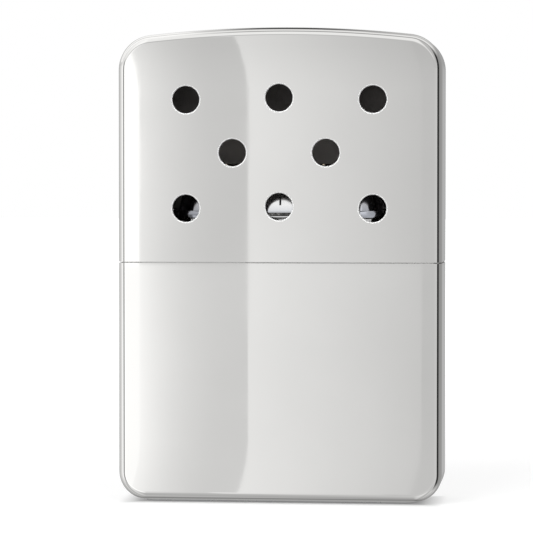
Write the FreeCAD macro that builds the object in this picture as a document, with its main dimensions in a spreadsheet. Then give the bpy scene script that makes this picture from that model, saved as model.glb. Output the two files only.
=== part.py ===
"""Pocket catalytic hand warmer.

A drawn metal case in two halves: a tank packed with cotton below, a vented lid that slips over the
tank's collar above, and between them a burner that clips over the tank's neck and holds the catalyst mat.

Frame: +Z up, -Y the vented front, origin on the ground under the middle of the case. Millimetres.
"""

import FreeCAD, Part
import math
import os
import Sketcher
from FreeCAD import Vector

# Driving dimensions: name, millimetres (or a count), what it sets.
SIZES = [
    ("case_width", 50.8, "outside width of lid and tank"),
    ("case_depth", 13.0, "outside depth of lid and tank, front to back"),
    ("case_height", 74.4, "ground to the top of the crowned lid"),
    ("lid_height", 36.7, "height of the lid, from the seam to the top of its crown"),
    ("crown_radius", 187.0, "radius of the crowned top edge, seen from the front"),
    ("top_corner", 5.5, "corner radius of the lid, seen from the front"),
    ("bottom_corner", 4.4, "corner radius of the tank, seen from the front"),
    ("edge_round", 1.3, "rounding where the broad faces turn into the sides, top and bottom"),
    ("wall", 0.45, "sheet thickness of lid and tank case"),
    ("seam_bevel", 0.12, "bevel of the two rims that meet at the seam"),
    ("foot_end_inset", 3.6, "how far the raised foot rim stays in from the case's narrow sides"),
    ("foot_side_inset", 2.3, "how far the foot rim stays in from the case's broad faces"),
    ("foot_corner", 2.6, "corner radius of the foot rim"),
    ("foot_rim", 1.1, "breadth of the foot rim around its sunk panel"),
    ("foot_height", 0.4, "how far the foot rim stands proud"),
    ("vent_diameter", 4.25, "bore of one vent"),
    ("vent_pitch", 14.64, "spacing of the vents along a row"),
    ("vent_row_pitch", 8.48, "spacing of the rows"),
    ("vent_lift", 8.74, "seam to the lowest row, on the centre line"),
    ("vent_arch", 0.27, "how far a row falls at one pitch from the centre line"),
    ("vent_bevel", 0.2, "bevel round the outside of a vent"),
    ("collar_rise", 4.6, "how far the collar stands above the seam"),
    ("collar_root", 5.0, "how far the collar reaches down into the tank case"),
    ("collar_wall", 0.4, "sheet thickness of the collar"),
    ("collar_corner", 1.2, "rounding of the collar's upright edges"),
    ("collar_shoulder", 0.6, "bevel of the collar's shoulder, which leads the lid on"),
    ("lid_clearance", 0.12, "slip clearance between lid and collar, each side"),
    ("neck_length", 32.8, "outside length of the neck tube, left to right"),
    ("neck_wall", 0.4, "wall of the neck tube"),
    ("neck_rise", 2.2, "how far the neck stands above the tank's top plate"),
    ("neck_tail", 0.9, "how far the neck reaches down through the top plate"),
    ("neck_flange", 1.2, "breadth of the flange that closes the neck on the top plate"),
    ("neck_flange_thickness", 0.25, "thickness of that flange"),
    ("wick_clearance", 0.15, "space left round the felt in the neck"),
    ("wick_recess", 0.3, "how far the felt sits below the mouth of the neck"),
    ("packing_clearance", 0.3, "space left round the cotton"),
    ("burner_air", 0.97, "air space between the lid's inside and the burner's rim, front and back"),
    ("burner_clearance", 0.08, "slip clearance between skirt and neck, each side"),
    ("skirt_wall", 0.35, "wall of the burner skirt"),
    ("skirt_drop", 2.1, "height of the skirt below its rim"),
    ("seat_gap", 0.05, "gap between the skirt's lower edge and the neck flange"),
    ("rim_overhang", 0.55, "how far the burner rim stands out past the skirt"),
    ("rim_ledge", 0.9, "how far the rim reaches in to carry the gauze"),
    ("rim_thickness", 0.3, "thickness of the burner rim"),
    ("slit_width", 0.4, "width of one spring slit in the skirt"),
    ("slit_height", 1.5, "height of one spring slit"),
    ("slit_pitch", 3.2, "spacing of the spring slits"),
    ("slit_count", 8, "spring slits along each broad side"),
    ("rim_root", 0.2, "bevel that stiffens the corner between skirt and rim"),
    ("tab_width", 2.6, "width of the folded tab at each end of the rim"),
    ("tab_grip", 0.9, "how far a tab reaches in over the cage's foot"),
    ("gauze_thickness", 0.2, "thickness of the gauze under the mat"),
    ("gauze_margin", 0.15, "how far the gauze stays inside the skirt's bore"),
    ("gauze_slot", 1.3, "width of one opening in the gauze"),
    ("gauze_pitch", 2.0, "spacing of the openings in the gauze"),
    ("gauze_count", 13, "openings in the gauze"),
    ("gauze_border", 1.1, "solid border of the gauze, front and back"),
    ("gauze_end_border", 1.0, "least border left beside the outermost openings, in the rounded ends"),
    ("mat_edge", 0.5, "thickness of the mat's edge, pinched between rim and cage"),
    ("mat_proud", 0.1, "how far the mat's edge stands out past the rim"),
    ("mat_clearance", 0.35, "space between the mat and the cage's wall"),
    ("mat_headroom", 1.1, "space between the mat and the cage's top"),
    ("cage_end_inset", 0.68, "how far the cage's walls stay in from the burner rim, at the ends"),
    ("cage_side_inset", 0.38, "how far the cage's walls stay in from the burner rim, front and back"),
    ("cage_height", 7.6, "height of the cage, foot included"),
    ("cage_taper", 14.0, "lean of the cage's walls, in degrees"),
    ("cage_wall", 0.3, "sheet thickness of the cage"),
    ("cage_bevel", 0.6, "bevel of the cage's top edge"),
    ("cage_foot", 0.5, "breadth of the cage's foot flange"),
    ("cage_foot_thickness", 0.25, "thickness of the foot flange"),
    ("apron_gap", 0.05, "gap between the mat's edge and the cage's end aprons"),
    ("apron_wall", 0.25, "sheet thickness of the end aprons"),
    ("louvre_width", 0.3, "width of one slot in the cage"),
    ("louvre_sill", 0.9, "foot of the cage to the lower end of its slots"),
    ("louvre_pitch", 2.2, "spacing of the slots along the broad sides"),
    ("louvre_count", 11, "slots along each broad side"),
    ("louvre_spine", 1.6, "solid strip left along the middle of the cage's top"),
]

XY, XZ, YZ = "XY_Plane", "XZ_Plane", "YZ_Plane"
TOLERANCE = 1e-4
OVERCUT = 1  # how far a cutting outline runs past what it cuts

doc = FreeCAD.newDocument("HandWarmer")
sheet = doc.addObject("Spreadsheet::Sheet", "sizes")
for row, (alias, size, meaning) in enumerate(SIZES, start=1):
    sheet.set(f"A{row}", alias)
    sheet.set(f"B{row}", str(size))
    sheet.setAlias(f"B{row}", alias)
    sheet.set(f"C{row}", meaning)
doc.recompute()

# Lengths that several pieces share, as expressions on the sheet.
SEAM = "(sizes.case_height - sizes.lid_height)"
TANK_TOP = f"({SEAM} + sizes.collar_rise)"
BEVEL_SHIFT = "(2 - sqrt(2))"  # a bevel's change of size for each unit that it moves inward, and its share
# of the rounding that it stands for and touches
INNER_BEVEL = f"({BEVEL_SHIFT} * (sizes.edge_round - sizes.wall))"
COLLAR_INSET = "(sizes.wall + sizes.lid_clearance)"
RIM_DEPTH = "(sizes.case_depth - 2 * sizes.wall - 2 * sizes.burner_air)"
SKIRT_DEPTH = f"({RIM_DEPTH} - 2 * sizes.rim_overhang)"
NECK_DEPTH = f"({SKIRT_DEPTH} - 2 * sizes.skirt_wall - 2 * sizes.burner_clearance)"
SKIRT_LENGTH = "(sizes.neck_length + 2 * sizes.burner_clearance + 2 * sizes.skirt_wall)"
RIM_LENGTH = f"({SKIRT_LENGTH} + 2 * sizes.rim_overhang)"
CAGE_LENGTH = f"({RIM_LENGTH} - 2 * sizes.cage_end_inset)"
CAGE_DEPTH = f"({RIM_DEPTH} - 2 * sizes.cage_side_inset)"
BURNER_SEAT = f"({TANK_TOP} + sizes.neck_flange_thickness + sizes.seat_gap)"
RIM_TOP = f"({BURNER_SEAT} + sizes.skirt_drop + sizes.rim_thickness)"
CAGE_FOOT = f"({RIM_TOP} + sizes.mat_edge)"
APRON_REACH = "(sizes.mat_proud + sizes.apron_gap)"
APRON_DROP = "(sizes.mat_edge + sizes.rim_thickness)"


def value(expression):
    """The number that an expression on the sheet gives now."""
    return float(sheet.evalExpression(str(expression)))


def new_body(name, height="0"):
    """A body for one piece, drawn from its own seat, which stands at the given height."""
    body = doc.addObject("PartDesign::Body", name)
    body.Label = name
    body.setExpression("Placement.Base.z", height)
    return body


def new_sketch(body, name, role, offset="0"):
    """A sketch on one of the body's own origin planes, moved along that plane's normal."""
    plane = next(feature for feature in body.Origin.OriginFeatures if feature.Role == role)
    sketch = body.newObject("Sketcher::SketchObject", name)
    sketch.AttachmentSupport = [(plane, "")]
    sketch.MapMode = "FlatFace"
    sketch.setExpression("AttachmentOffset.Base.z", offset)
    return sketch


def bind(sketch, name, constraint, expression):
    """Adds a dimension to a sketch and ties it to the sheet."""
    index = sketch.addConstraint(constraint)
    sketch.renameConstraint(index, name)
    sketch.setExpression(f"Constraints.{name}", expression)


def stadium(sketch, length, depth, tag=""):
    """A slot shape centred on the origin: two straight sides joined by half circles."""
    radius = value(f"({depth}) / 2")
    reach = value(f"({length}) / 2") - radius

    def half_circle(x, start):
        return Part.ArcOfCircle(Part.Circle(Vector(x, 0, 0), Vector(0, 0, 1), radius), start, start + math.pi)

    front = sketch.addGeometry(Part.LineSegment(Vector(-reach, -radius, 0), Vector(reach, -radius, 0)))
    right = sketch.addGeometry(half_circle(reach, -math.pi / 2))
    back = sketch.addGeometry(Part.LineSegment(Vector(reach, radius, 0), Vector(-reach, radius, 0)))
    left = sketch.addGeometry(half_circle(-reach, math.pi / 2))
    loop = [front, right, back, left]
    for geometry, following in zip(loop, loop[1:] + loop[:1]):
        sketch.addConstraint(Sketcher.Constraint("Tangent", geometry, 2, following, 1))
    for side in (front, back):
        sketch.addConstraint(Sketcher.Constraint("Horizontal", side))
    sketch.addConstraint(Sketcher.Constraint("Symmetric", right, 3, left, 3, -1, 1))
    bind(sketch, f"{tag}end_radius", Sketcher.Constraint("Radius", right, radius), f"({depth}) / 2")
    bind(sketch, f"{tag}straight", Sketcher.Constraint("DistanceX", left, 3, right, 3, 2 * reach),
         f"({length}) - ({depth})")


def rounded_rectangle(sketch, width, depth, corner, tag=""):
    """A rectangle with round corners, centred on the origin."""
    radius = value(corner)
    reach_x = value(f"({width}) / 2") - radius
    reach_y = value(f"({depth}) / 2") - radius
    quarter = math.pi / 2
    centres = [(reach_x, -reach_y), (reach_x, reach_y), (-reach_x, reach_y), (-reach_x, -reach_y)]
    arcs = [sketch.addGeometry(Part.ArcOfCircle(
        Part.Circle(Vector(x, y, 0), Vector(0, 0, 1), radius), (turn - 1) * quarter, turn * quarter))
        for turn, (x, y) in enumerate(centres)]
    sides = []
    for arc, following in zip(arcs, arcs[1:] + arcs[:1]):
        line = Part.LineSegment(sketch.getPoint(arc, 2), sketch.getPoint(following, 1))
        sides.append(sketch.addGeometry(line))
        sketch.addConstraint(Sketcher.Constraint("Tangent", arc, 2, sides[-1], 1))
        sketch.addConstraint(Sketcher.Constraint("Tangent", sides[-1], 2, following, 1))
    for side in sides[1::2]:
        sketch.addConstraint(Sketcher.Constraint("Horizontal", side))
    sketch.addConstraint(Sketcher.Constraint("Vertical", sides[0]))
    sketch.addConstraint(Sketcher.Constraint("Equal", arcs[0], arcs[2]))
    sketch.addConstraint(Sketcher.Constraint("Symmetric", arcs[0], 3, arcs[2], 3, -1, 1))
    bind(sketch, f"{tag}corner", Sketcher.Constraint("Radius", arcs[0], radius), corner)
    bind(sketch, f"{tag}across", Sketcher.Constraint("DistanceX", arcs[2], 3, arcs[0], 3, 2 * reach_x),
         f"({width}) - 2 * ({corner})")
    bind(sketch, f"{tag}deep", Sketcher.Constraint("DistanceY", arcs[0], 3, arcs[2], 3, 2 * reach_y),
         f"({depth}) - 2 * ({corner})")


def rectangle(sketch, low_x, low_y, high_x, high_y, tag=""):
    """An upright rectangle between two corners, each side tied to an expression."""
    x0, y0, x1, y1 = (value(expression) for expression in (low_x, low_y, high_x, high_y))
    corners = [Vector(x0, y0, 0), Vector(x1, y0, 0), Vector(x1, y1, 0), Vector(x0, y1, 0)]
    sides = [sketch.addGeometry(Part.LineSegment(start, stop))
             for start, stop in zip(corners, corners[1:] + corners[:1])]
    for side, following in zip(sides, sides[1:] + sides[:1]):
        sketch.addConstraint(Sketcher.Constraint("Coincident", side, 2, following, 1))
    for side in (sides[0], sides[2]):
        sketch.addConstraint(Sketcher.Constraint("Horizontal", side))
    for side in (sides[1], sides[3]):
        sketch.addConstraint(Sketcher.Constraint("Vertical", side))
    bind(sketch, f"{tag}low_x", Sketcher.Constraint("DistanceX", -1, 1, sides[0], 1, x0), low_x)
    bind(sketch, f"{tag}low_y", Sketcher.Constraint("DistanceY", -1, 1, sides[0], 1, y0), low_y)
    bind(sketch, f"{tag}high_x", Sketcher.Constraint("DistanceX", -1, 1, sides[2], 1, x1), high_x)
    bind(sketch, f"{tag}high_y", Sketcher.Constraint("DistanceY", -1, 1, sides[2], 1, y1), high_y)


def case_plan(sketch, inset):
    """The square-cornered plan of the case, drawn in by an inset all round."""
    half_width = f"(sizes.case_width / 2 - {inset})"
    half_depth = f"(sizes.case_depth / 2 - {inset})"
    rectangle(sketch, f"-{half_width}", f"-{half_depth}", half_width, half_depth)


def pad(body, name, sketch, length, taper=None):
    """Raises a sketch along its normal. A taper leans the walls inward."""
    feature = body.newObject("PartDesign::Pad", name)
    feature.Profile = sketch
    feature.setExpression("Length", length)
    if taper:
        feature.setExpression("TaperAngle", taper)
    doc.recompute()
    return feature


def pocket(body, name, sketch, length, along_normal=False, midplane=False, taper=None):
    """Cuts a sketch out of the body, against the sketch's normal unless told otherwise."""
    before = body.Shape.Volume
    feature = body.newObject("PartDesign::Pocket", name)
    feature.Profile = sketch
    feature.Reversed = along_normal
    feature.SideType = "Symmetric" if midplane else "One side"
    feature.setExpression("Length", length)
    if taper:
        feature.setExpression("TaperAngle", taper)
    doc.recompute()
    if feature.Shape.Volume > before - TOLERANCE:
        raise ValueError(f"{body.Label}: {name} cuts nothing")
    return feature


def fillet(body, name, radius, wanted):
    """Rounds the edges of the body's present shape that a test picks out."""
    base = body.Tip
    edges = [f"Edge{number}" for number, edge in enumerate(base.Shape.Edges, start=1) if wanted(edge)]
    if not edges:
        raise ValueError(f"{body.Label}: {name} finds no edge")
    feature = body.newObject("PartDesign::Fillet", name)
    feature.Base = (base, edges)
    feature.setExpression("Radius", radius)
    doc.recompute()
    return feature


def chamfer(body, name, size, wanted):
    """Bevels the edges of the body's present shape that a test picks out."""
    base = body.Tip
    edges = [f"Edge{number}" for number, edge in enumerate(base.Shape.Edges, start=1) if wanted(edge)]
    if not edges:
        raise ValueError(f"{body.Label}: {name} finds no edge")
    feature = body.newObject("PartDesign::Chamfer", name)
    feature.Base = (base, edges)
    feature.setExpression("Size", size)
    doc.recompute()
    return feature


def hollow(body, name, thickness, open_height):
    """Shells the body inward and leaves it open at the flat face that lies at the given height."""
    base = body.Tip
    faces = [f"Face{number}" for number, face in enumerate(base.Shape.Faces, start=1)
             if abs(face.BoundBox.ZMin - open_height) < TOLERANCE and face.BoundBox.ZLength < TOLERANCE]
    feature = body.newObject("PartDesign::Thickness", name)
    feature.Base = (base, faces)
    feature.Reversed = True
    feature.Mode = "Skin"
    feature.Join = "Intersection"
    feature.setExpression("Value", thickness)
    doc.recompute()
    if feature.Shape.Volume > base.Shape.Volume:
        raise ValueError(f"{body.Label}: {name} grows outward")
    return feature


def repeat(body, name, original, sketch, spacing, count):
    """Repeats a cut along its sketch's normal."""
    feature = body.newObject("PartDesign::LinearPattern", name)
    feature.Originals = [original]
    feature.Direction = (sketch, ["N_Axis"])
    feature.Mode = "Spacing"
    feature.setExpression("Offset", spacing)
    feature.setExpression("Occurrences", count)
    body.Tip = feature
    doc.recompute()
    return feature


def middle(edge):
    """The point half way along an edge."""
    return edge.valueAt((edge.FirstParameter + edge.LastParameter) / 2)


def lies_at(edge, height):
    """Whether both ends and the middle of the edge lie at one height."""
    points = [vertex.Point for vertex in edge.Vertexes] + [middle(edge)]
    return all(abs(point.z - height) < TOLERANCE for point in points)


def runs_front_to_back(edge):
    """Whether the edge joins the two broad faces at a corner of the case."""
    start, stop = edge.firstVertex().Point, edge.lastVertex().Point
    return (start - stop).Length > TOLERANCE and abs(middle(edge).y) < TOLERANCE and start.y * stop.y < 0


def bounds_broad_face(edge, inset="0"):
    """Whether the edge runs round a broad face, or round a face that lies that far inside it."""
    points = [vertex.Point for vertex in edge.Vertexes] + [middle(edge)]
    plane = value(f"sizes.case_depth / 2 - {inset}")
    return all(abs(abs(point.y) - plane) < TOLERANCE for point in points)


def outer_rim(body, height):
    """The outside edges of the flat rim that the body has at the given height."""
    rim = max((face for face in body.Tip.Shape.Faces
               if abs(face.BoundBox.ZMax - height) < TOLERANCE and face.BoundBox.ZLength < TOLERANCE),
              key=lambda face: face.OuterWire.Length)
    return lambda edge: any(edge.isSame(outline) for outline in rim.OuterWire.Edges)


def ease_broad_faces(body, name, rim_height):
    """Turns the broad faces of a shell into its narrow sides: beveled inside, rounded outside."""
    chamfer(body, f"{name}_inner_edges", INNER_BEVEL,
            lambda edge: bounds_broad_face(edge, "sizes.wall") and not lies_at(edge, rim_height))
    fillet(body, f"{name}_edges", "sizes.edge_round",
           lambda edge: bounds_broad_face(edge) and not lies_at(edge, rim_height))


def make_lid_shell():
    """The drawn lid: crowned top, rounded corners, eight rolled vents in the front."""
    body = new_body("lid_shell", SEAM)
    plan = new_sketch(body, "lid_plan", XY)
    case_plan(plan, "0")
    pad(body, "lid_block", plan, "sizes.lid_height")

    crown = new_sketch(body, "lid_crown", XZ)
    half_width = f"(sizes.case_width / 2 + {OVERCUT})"
    roof_height = f"(sizes.lid_height + {OVERCUT})"
    half = value(half_width)
    radius = value("sizes.crown_radius")
    centre = value("sizes.lid_height - sizes.crown_radius")
    spread = math.acos(half / radius)
    shoulder = centre + radius * math.sin(spread)
    roof = value(roof_height)
    arc = crown.addGeometry(Part.ArcOfCircle(
        Part.Circle(Vector(0, centre, 0), Vector(0, 0, 1), radius), spread, math.pi - spread))
    corners = [Vector(-half, shoulder, 0), Vector(-half, roof, 0), Vector(half, roof, 0),
               Vector(half, shoulder, 0)]
    sides = [crown.addGeometry(Part.LineSegment(start, stop)) for start, stop in zip(corners, corners[1:])]
    loop = [arc] + sides
    for geometry, following in zip(loop, loop[1:] + loop[:1]):
        crown.addConstraint(Sketcher.Constraint("Coincident", geometry, 2, following, 1))
    crown.addConstraint(Sketcher.Constraint("Vertical", sides[0]))
    crown.addConstraint(Sketcher.Constraint("Horizontal", sides[1]))
    crown.addConstraint(Sketcher.Constraint("Vertical", sides[2]))
    crown.addConstraint(Sketcher.Constraint("PointOnObject", arc, 3, -2))
    bind(crown, "radius", Sketcher.Constraint("Radius", arc, radius), "sizes.crown_radius")
    bind(crown, "centre", Sketcher.Constraint("DistanceY", arc, 3, -1, 1, -centre),
         "sizes.crown_radius - sizes.lid_height")
    bind(crown, "roof", Sketcher.Constraint("DistanceY", -1, 1, sides[1], 1, roof), roof_height)
    bind(crown, "left", Sketcher.Constraint("DistanceX", sides[1], 1, -1, 1, half), half_width)
    bind(crown, "right", Sketcher.Constraint("DistanceX", -1, 1, sides[1], 2, half), half_width)
    pocket(body, "lid_crown_cut", crown, "2 * sizes.case_depth", midplane=True)

    fillet(body, "lid_corners", "sizes.top_corner",
           lambda edge: runs_front_to_back(edge) and middle(edge).z > TOLERANCE)
    hollow(body, "lid_hollow", "sizes.wall", 0)
    ease_broad_faces(body, "lid", 0)

    vents = new_sketch(body, "vent_centres", XZ)
    rows = [(0, (-1, 0, 1)), (1, (-0.5, 0.5)), (2, (-1, 0, 1))]
    bore = value("sizes.vent_diameter / 2")
    for row, columns in rows:
        for column in columns:
            across = f"({column}) * sizes.vent_pitch"
            up = (f"sizes.vent_lift + {row} * sizes.vent_row_pitch"
                  f" - sizes.vent_arch * ({column}) ^ 2")
            centre = Vector(value(across), value(up), 0)
            circle = vents.addGeometry(Part.Circle(centre, Vector(0, 0, 1), bore))
            tag = f"vent{circle}"
            bind(vents, f"{tag}_across", Sketcher.Constraint("DistanceX", -1, 1, circle, 3, centre.x), across)
            bind(vents, f"{tag}_up", Sketcher.Constraint("DistanceY", -1, 1, circle, 3, centre.y), up)
            bind(vents, f"{tag}_bore", Sketcher.Constraint("Radius", circle, bore), "sizes.vent_diameter / 2")
    pocket(body, "vents", vents, "sizes.case_depth", along_normal=True)
    front = -value("sizes.case_depth / 2")
    chamfer(body, "vent_edges", "sizes.vent_bevel",
            lambda edge: len(edge.Vertexes) == 1 and abs(middle(edge).y - front) < TOLERANCE)
    chamfer(body, "lid_rim", "sizes.seam_bevel", outer_rim(body, 0))
    return body


def make_tank_case():
    """The drawn cup under the seam: rounded corners below and a foot rim round a sunk panel."""
    body = new_body("tank_case")
    plan = new_sketch(body, "case_plan", XY, "sizes.foot_height")
    case_plan(plan, "0")
    pad(body, "case_block", plan, f"{SEAM} - sizes.foot_height")
    floor = value("sizes.foot_height")
    seam = value(SEAM)
    fillet(body, "case_corners", "sizes.bottom_corner",
           lambda edge: runs_front_to_back(edge) and lies_at(edge, floor))
    hollow(body, "case_hollow", "sizes.wall", seam)
    ease_broad_faces(body, "case", seam)
    chamfer(body, "case_rim", "sizes.seam_bevel", outer_rim(body, seam))

    foot = new_sketch(body, "foot_plan", XY)
    for tag, rim in (("outer_", "0"), ("inner_", "sizes.foot_rim")):
        width = f"sizes.case_width - 2 * (sizes.foot_end_inset + {rim})"
        depth = f"sizes.case_depth - 2 * (sizes.foot_side_inset + {rim})"
        rounded_rectangle(foot, width, depth, f"sizes.foot_corner - {rim}", tag)
    pad(body, "foot", foot, "sizes.foot_height + sizes.wall / 2")
    return body


def make_tank_collar():
    """The inner cup that closes the tank: it grips the lid outside and carries the neck on top."""
    body = new_body("tank_collar", SEAM)
    plan = new_sketch(body, "collar_plan", XY, "-sizes.collar_root")
    rounded_rectangle(plan, f"sizes.case_width - 2 * {COLLAR_INSET}",
                      f"sizes.case_depth - 2 * {COLLAR_INSET}", "sizes.collar_corner")
    pad(body, "collar", plan, "sizes.collar_root + sizes.collar_rise")
    top = value("sizes.collar_rise")
    chamfer(body, "collar_shoulder", "sizes.collar_shoulder", lambda edge: lies_at(edge, top))
    hollow(body, "collar_hollow", "sizes.collar_wall", value("-sizes.collar_root"))
    mouth = new_sketch(body, "collar_mouth_plan", XY, "sizes.collar_rise")
    stadium(mouth, "sizes.neck_length", NECK_DEPTH)
    pocket(body, "collar_mouth", mouth, "2 * sizes.collar_wall")
    return body


def make_neck():
    """The tube that the burner clips over, with the flange that closes it on the tank's top plate."""
    body = new_body("neck", TANK_TOP)
    flange = new_sketch(body, "neck_flange_plan", XY)
    stadium(flange, "sizes.neck_length + 2 * sizes.neck_flange", f"{NECK_DEPTH} + 2 * sizes.neck_flange")
    pad(body, "neck_flange", flange, "sizes.neck_flange_thickness")
    tube = new_sketch(body, "neck_tube_plan", XY, "-sizes.neck_tail")
    stadium(tube, "sizes.neck_length", NECK_DEPTH)
    pad(body, "neck_tube", tube, "sizes.neck_tail + sizes.neck_rise")
    bore = new_sketch(body, "neck_bore_plan", XY, "sizes.neck_rise")
    stadium(bore, "sizes.neck_length - 2 * sizes.neck_wall", f"{NECK_DEPTH} - 2 * sizes.neck_wall")
    pocket(body, "neck_bore", bore, "sizes.neck_rise + sizes.neck_tail")
    return body


def make_neck_wick():
    """The felt in the neck. It stands on the cotton and lets fuel through to the burner."""
    inset = "2 * (sizes.neck_wall + sizes.wick_clearance)"
    body = new_body("neck_wick", f"{TANK_TOP} - sizes.neck_tail")
    plan = new_sketch(body, "wick_plan", XY)
    stadium(plan, f"sizes.neck_length - {inset}", f"{NECK_DEPTH} - {inset}")
    pad(body, "wick", plan, "sizes.neck_tail + sizes.neck_rise - sizes.wick_recess")
    return body


def make_cotton_packing():
    """The cotton that fills the tank, stepped in where it passes up into the collar."""
    body = new_body("cotton_packing")
    inset = "(sizes.wall + sizes.packing_clearance)"
    floor = f"(sizes.foot_height + {inset})"
    step = f"({SEAM} - sizes.collar_root - sizes.packing_clearance)"
    bulk = new_sketch(body, "packing_plan", XY, floor)
    case_plan(bulk, inset)
    pad(body, "packing", bulk, f"{step} - {floor}")
    bottom, top = value(floor), value(step)
    fillet(body, "packing_corners", f"sizes.bottom_corner - {inset}",
           lambda edge: runs_front_to_back(edge) and lies_at(edge, bottom))
    chamfer(body, "packing_edges", f"sizes.edge_round - {inset}",
            lambda edge: bounds_broad_face(edge, inset) and not lies_at(edge, top))
    narrow = f"({COLLAR_INSET} + sizes.collar_wall + sizes.packing_clearance)"
    upper = new_sketch(body, "packing_top_plan", XY, step)
    case_plan(upper, narrow)
    pad(body, "packing_top", upper, f"{TANK_TOP} - sizes.neck_tail - {step}")
    ceiling = value(f"{TANK_TOP} - sizes.neck_tail")
    chamfer(body, "packing_top_edge", "sizes.packing_clearance", lambda edge: lies_at(edge, ceiling))
    return body


def make_burner_skirt():
    """The burner's base: a slit skirt that springs over the neck, a rim, and a folded tab at each end."""
    body = new_body("burner_skirt", BURNER_SEAT)
    skirt = new_sketch(body, "skirt_plan", XY)
    stadium(skirt, SKIRT_LENGTH, SKIRT_DEPTH)
    pad(body, "skirt", skirt, "sizes.skirt_drop")
    rim = new_sketch(body, "rim_plan", XY, "sizes.skirt_drop")
    stadium(rim, RIM_LENGTH, RIM_DEPTH)
    pad(body, "rim", rim, "sizes.rim_thickness")
    corner = value("sizes.skirt_drop")
    outside = value(f"{SKIRT_DEPTH} / 2")
    chamfer(body, "rim_root", "sizes.rim_root",
            lambda edge: lies_at(edge, corner) and edge.BoundBox.YMax < outside + TOLERANCE
            and edge.BoundBox.YMin > -outside - TOLERANCE)

    bore = new_sketch(body, "skirt_bore_plan", XY)
    stadium(bore, f"{SKIRT_LENGTH} - 2 * sizes.skirt_wall", f"{SKIRT_DEPTH} - 2 * sizes.skirt_wall")
    pocket(body, "skirt_bore", bore, "sizes.skirt_drop", along_normal=True)
    window = new_sketch(body, "rim_window_plan", XY, "sizes.skirt_drop")
    ledge = "2 * (sizes.skirt_wall + sizes.rim_ledge)"
    stadium(window, f"{SKIRT_LENGTH} - {ledge}", f"{SKIRT_DEPTH} - {ledge}")
    pocket(body, "rim_window", window, "sizes.rim_thickness", along_normal=True)

    slit = new_sketch(body, "slit_profile", YZ, "-(sizes.slit_count - 1) / 2 * sizes.slit_pitch")
    rectangle(slit, f"-{SKIRT_DEPTH}", "-sizes.slit_height", SKIRT_DEPTH, "sizes.slit_height")
    cut = pocket(body, "slit", slit, "sizes.slit_width", midplane=True)
    repeat(body, "slits", cut, slit, "sizes.slit_pitch", "sizes.slit_count")

    rim_end = f"({RIM_LENGTH} / 2)"
    tab_inside = f"({rim_end} + {APRON_REACH} + sizes.apron_wall + sizes.seat_gap)"
    tab_outside = f"({tab_inside} + sizes.rim_thickness)"
    fold = "(sizes.skirt_drop + sizes.rim_thickness + sizes.mat_edge + sizes.cage_foot_thickness)"
    tab = new_sketch(body, "tab_profile", XZ)
    for side, tag in ((1, "right_"), (-1, "left_")):
        tab_profile(tab, side, rim_end, tab_inside, tab_outside, fold, tag)
    raised = pad(body, "tabs", tab, "sizes.tab_width")
    raised.SideType = "Symmetric"
    doc.recompute()
    return body


def tab_profile(sketch, side, rim_end, inside, outside, fold, tag):
    """One end tab in outline: out from the rim, up past the mat and the cage's foot, and back over it."""
    root = f"({rim_end} - sizes.rim_thickness)"
    tip = f"({outside} - sizes.tab_grip)"
    low = "sizes.skirt_drop"
    rim_top = "(sizes.skirt_drop + sizes.rim_thickness)"
    roof = f"({fold} + sizes.rim_thickness)"
    path = [(root, low), (outside, low), (outside, roof), (tip, roof), (tip, fold), (inside, fold),
            (inside, rim_top), (root, rim_top)]
    points = [Vector(side * value(x), value(y), 0) for x, y in path]
    sides = [sketch.addGeometry(Part.LineSegment(start, stop))
             for start, stop in zip(points, points[1:] + points[:1])]
    for number, (line, following) in enumerate(zip(sides, sides[1:] + sides[:1])):
        sketch.addConstraint(Sketcher.Constraint("Coincident", line, 2, following, 1))
        sketch.addConstraint(Sketcher.Constraint("Vertical" if number % 2 else "Horizontal", line))
    across = {"root": (0, root), "outside": (1, outside), "tip": (3, tip), "inside": (5, inside)}
    up = {"low": (0, low), "roof": (2, roof), "fold": (4, fold), "rim_top": (6, rim_top)}
    for name, (line, expression) in across.items():
        ends = (-1, 1, sides[line], 1) if side > 0 else (sides[line], 1, -1, 1)
        bind(sketch, f"{tag}{name}", Sketcher.Constraint("DistanceX", *ends, value(expression)), expression)
    for name, (line, expression) in up.items():
        bind(sketch, f"{tag}{name}",
             Sketcher.Constraint("DistanceY", -1, 1, sides[line], 1, value(expression)), expression)


def make_mat_gauze():
    """The slotted gauze that lies on the rim's ledge and keeps the mat off the felt."""
    body = new_body("mat_gauze", RIM_TOP)
    margin = "2 * (sizes.skirt_wall + sizes.gauze_margin)"
    length = f"({SKIRT_LENGTH} - {margin})"
    depth = f"({SKIRT_DEPTH} - {margin})"
    plan = new_sketch(body, "gauze_plan", XY)
    stadium(plan, length, depth)
    pad(body, "gauze", plan, "sizes.gauze_thickness")
    slot = new_sketch(body, "gauze_slot_profile", YZ, "-(sizes.gauze_count - 1) / 2 * sizes.gauze_pitch")
    outermost = "((sizes.gauze_count - 1) / 2 * sizes.gauze_pitch + sizes.gauze_slot / 2)"
    into_end = f"max(0; {outermost} - ({length} - {depth}) / 2)"
    end_room = f"sqrt({depth} ^ 2 / 4 - {into_end} ^ 2) - sizes.gauze_end_border"
    half = f"min({depth} / 2 - sizes.gauze_border; {end_room})"
    rectangle(slot, f"-{half}", "-sizes.gauze_thickness", half, "2 * sizes.gauze_thickness")
    cut = pocket(body, "gauze_slot", slot, "sizes.gauze_slot", midplane=True)
    repeat(body, "gauze_slots", cut, slot, "sizes.gauze_pitch", "sizes.gauze_count")
    return body


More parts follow.
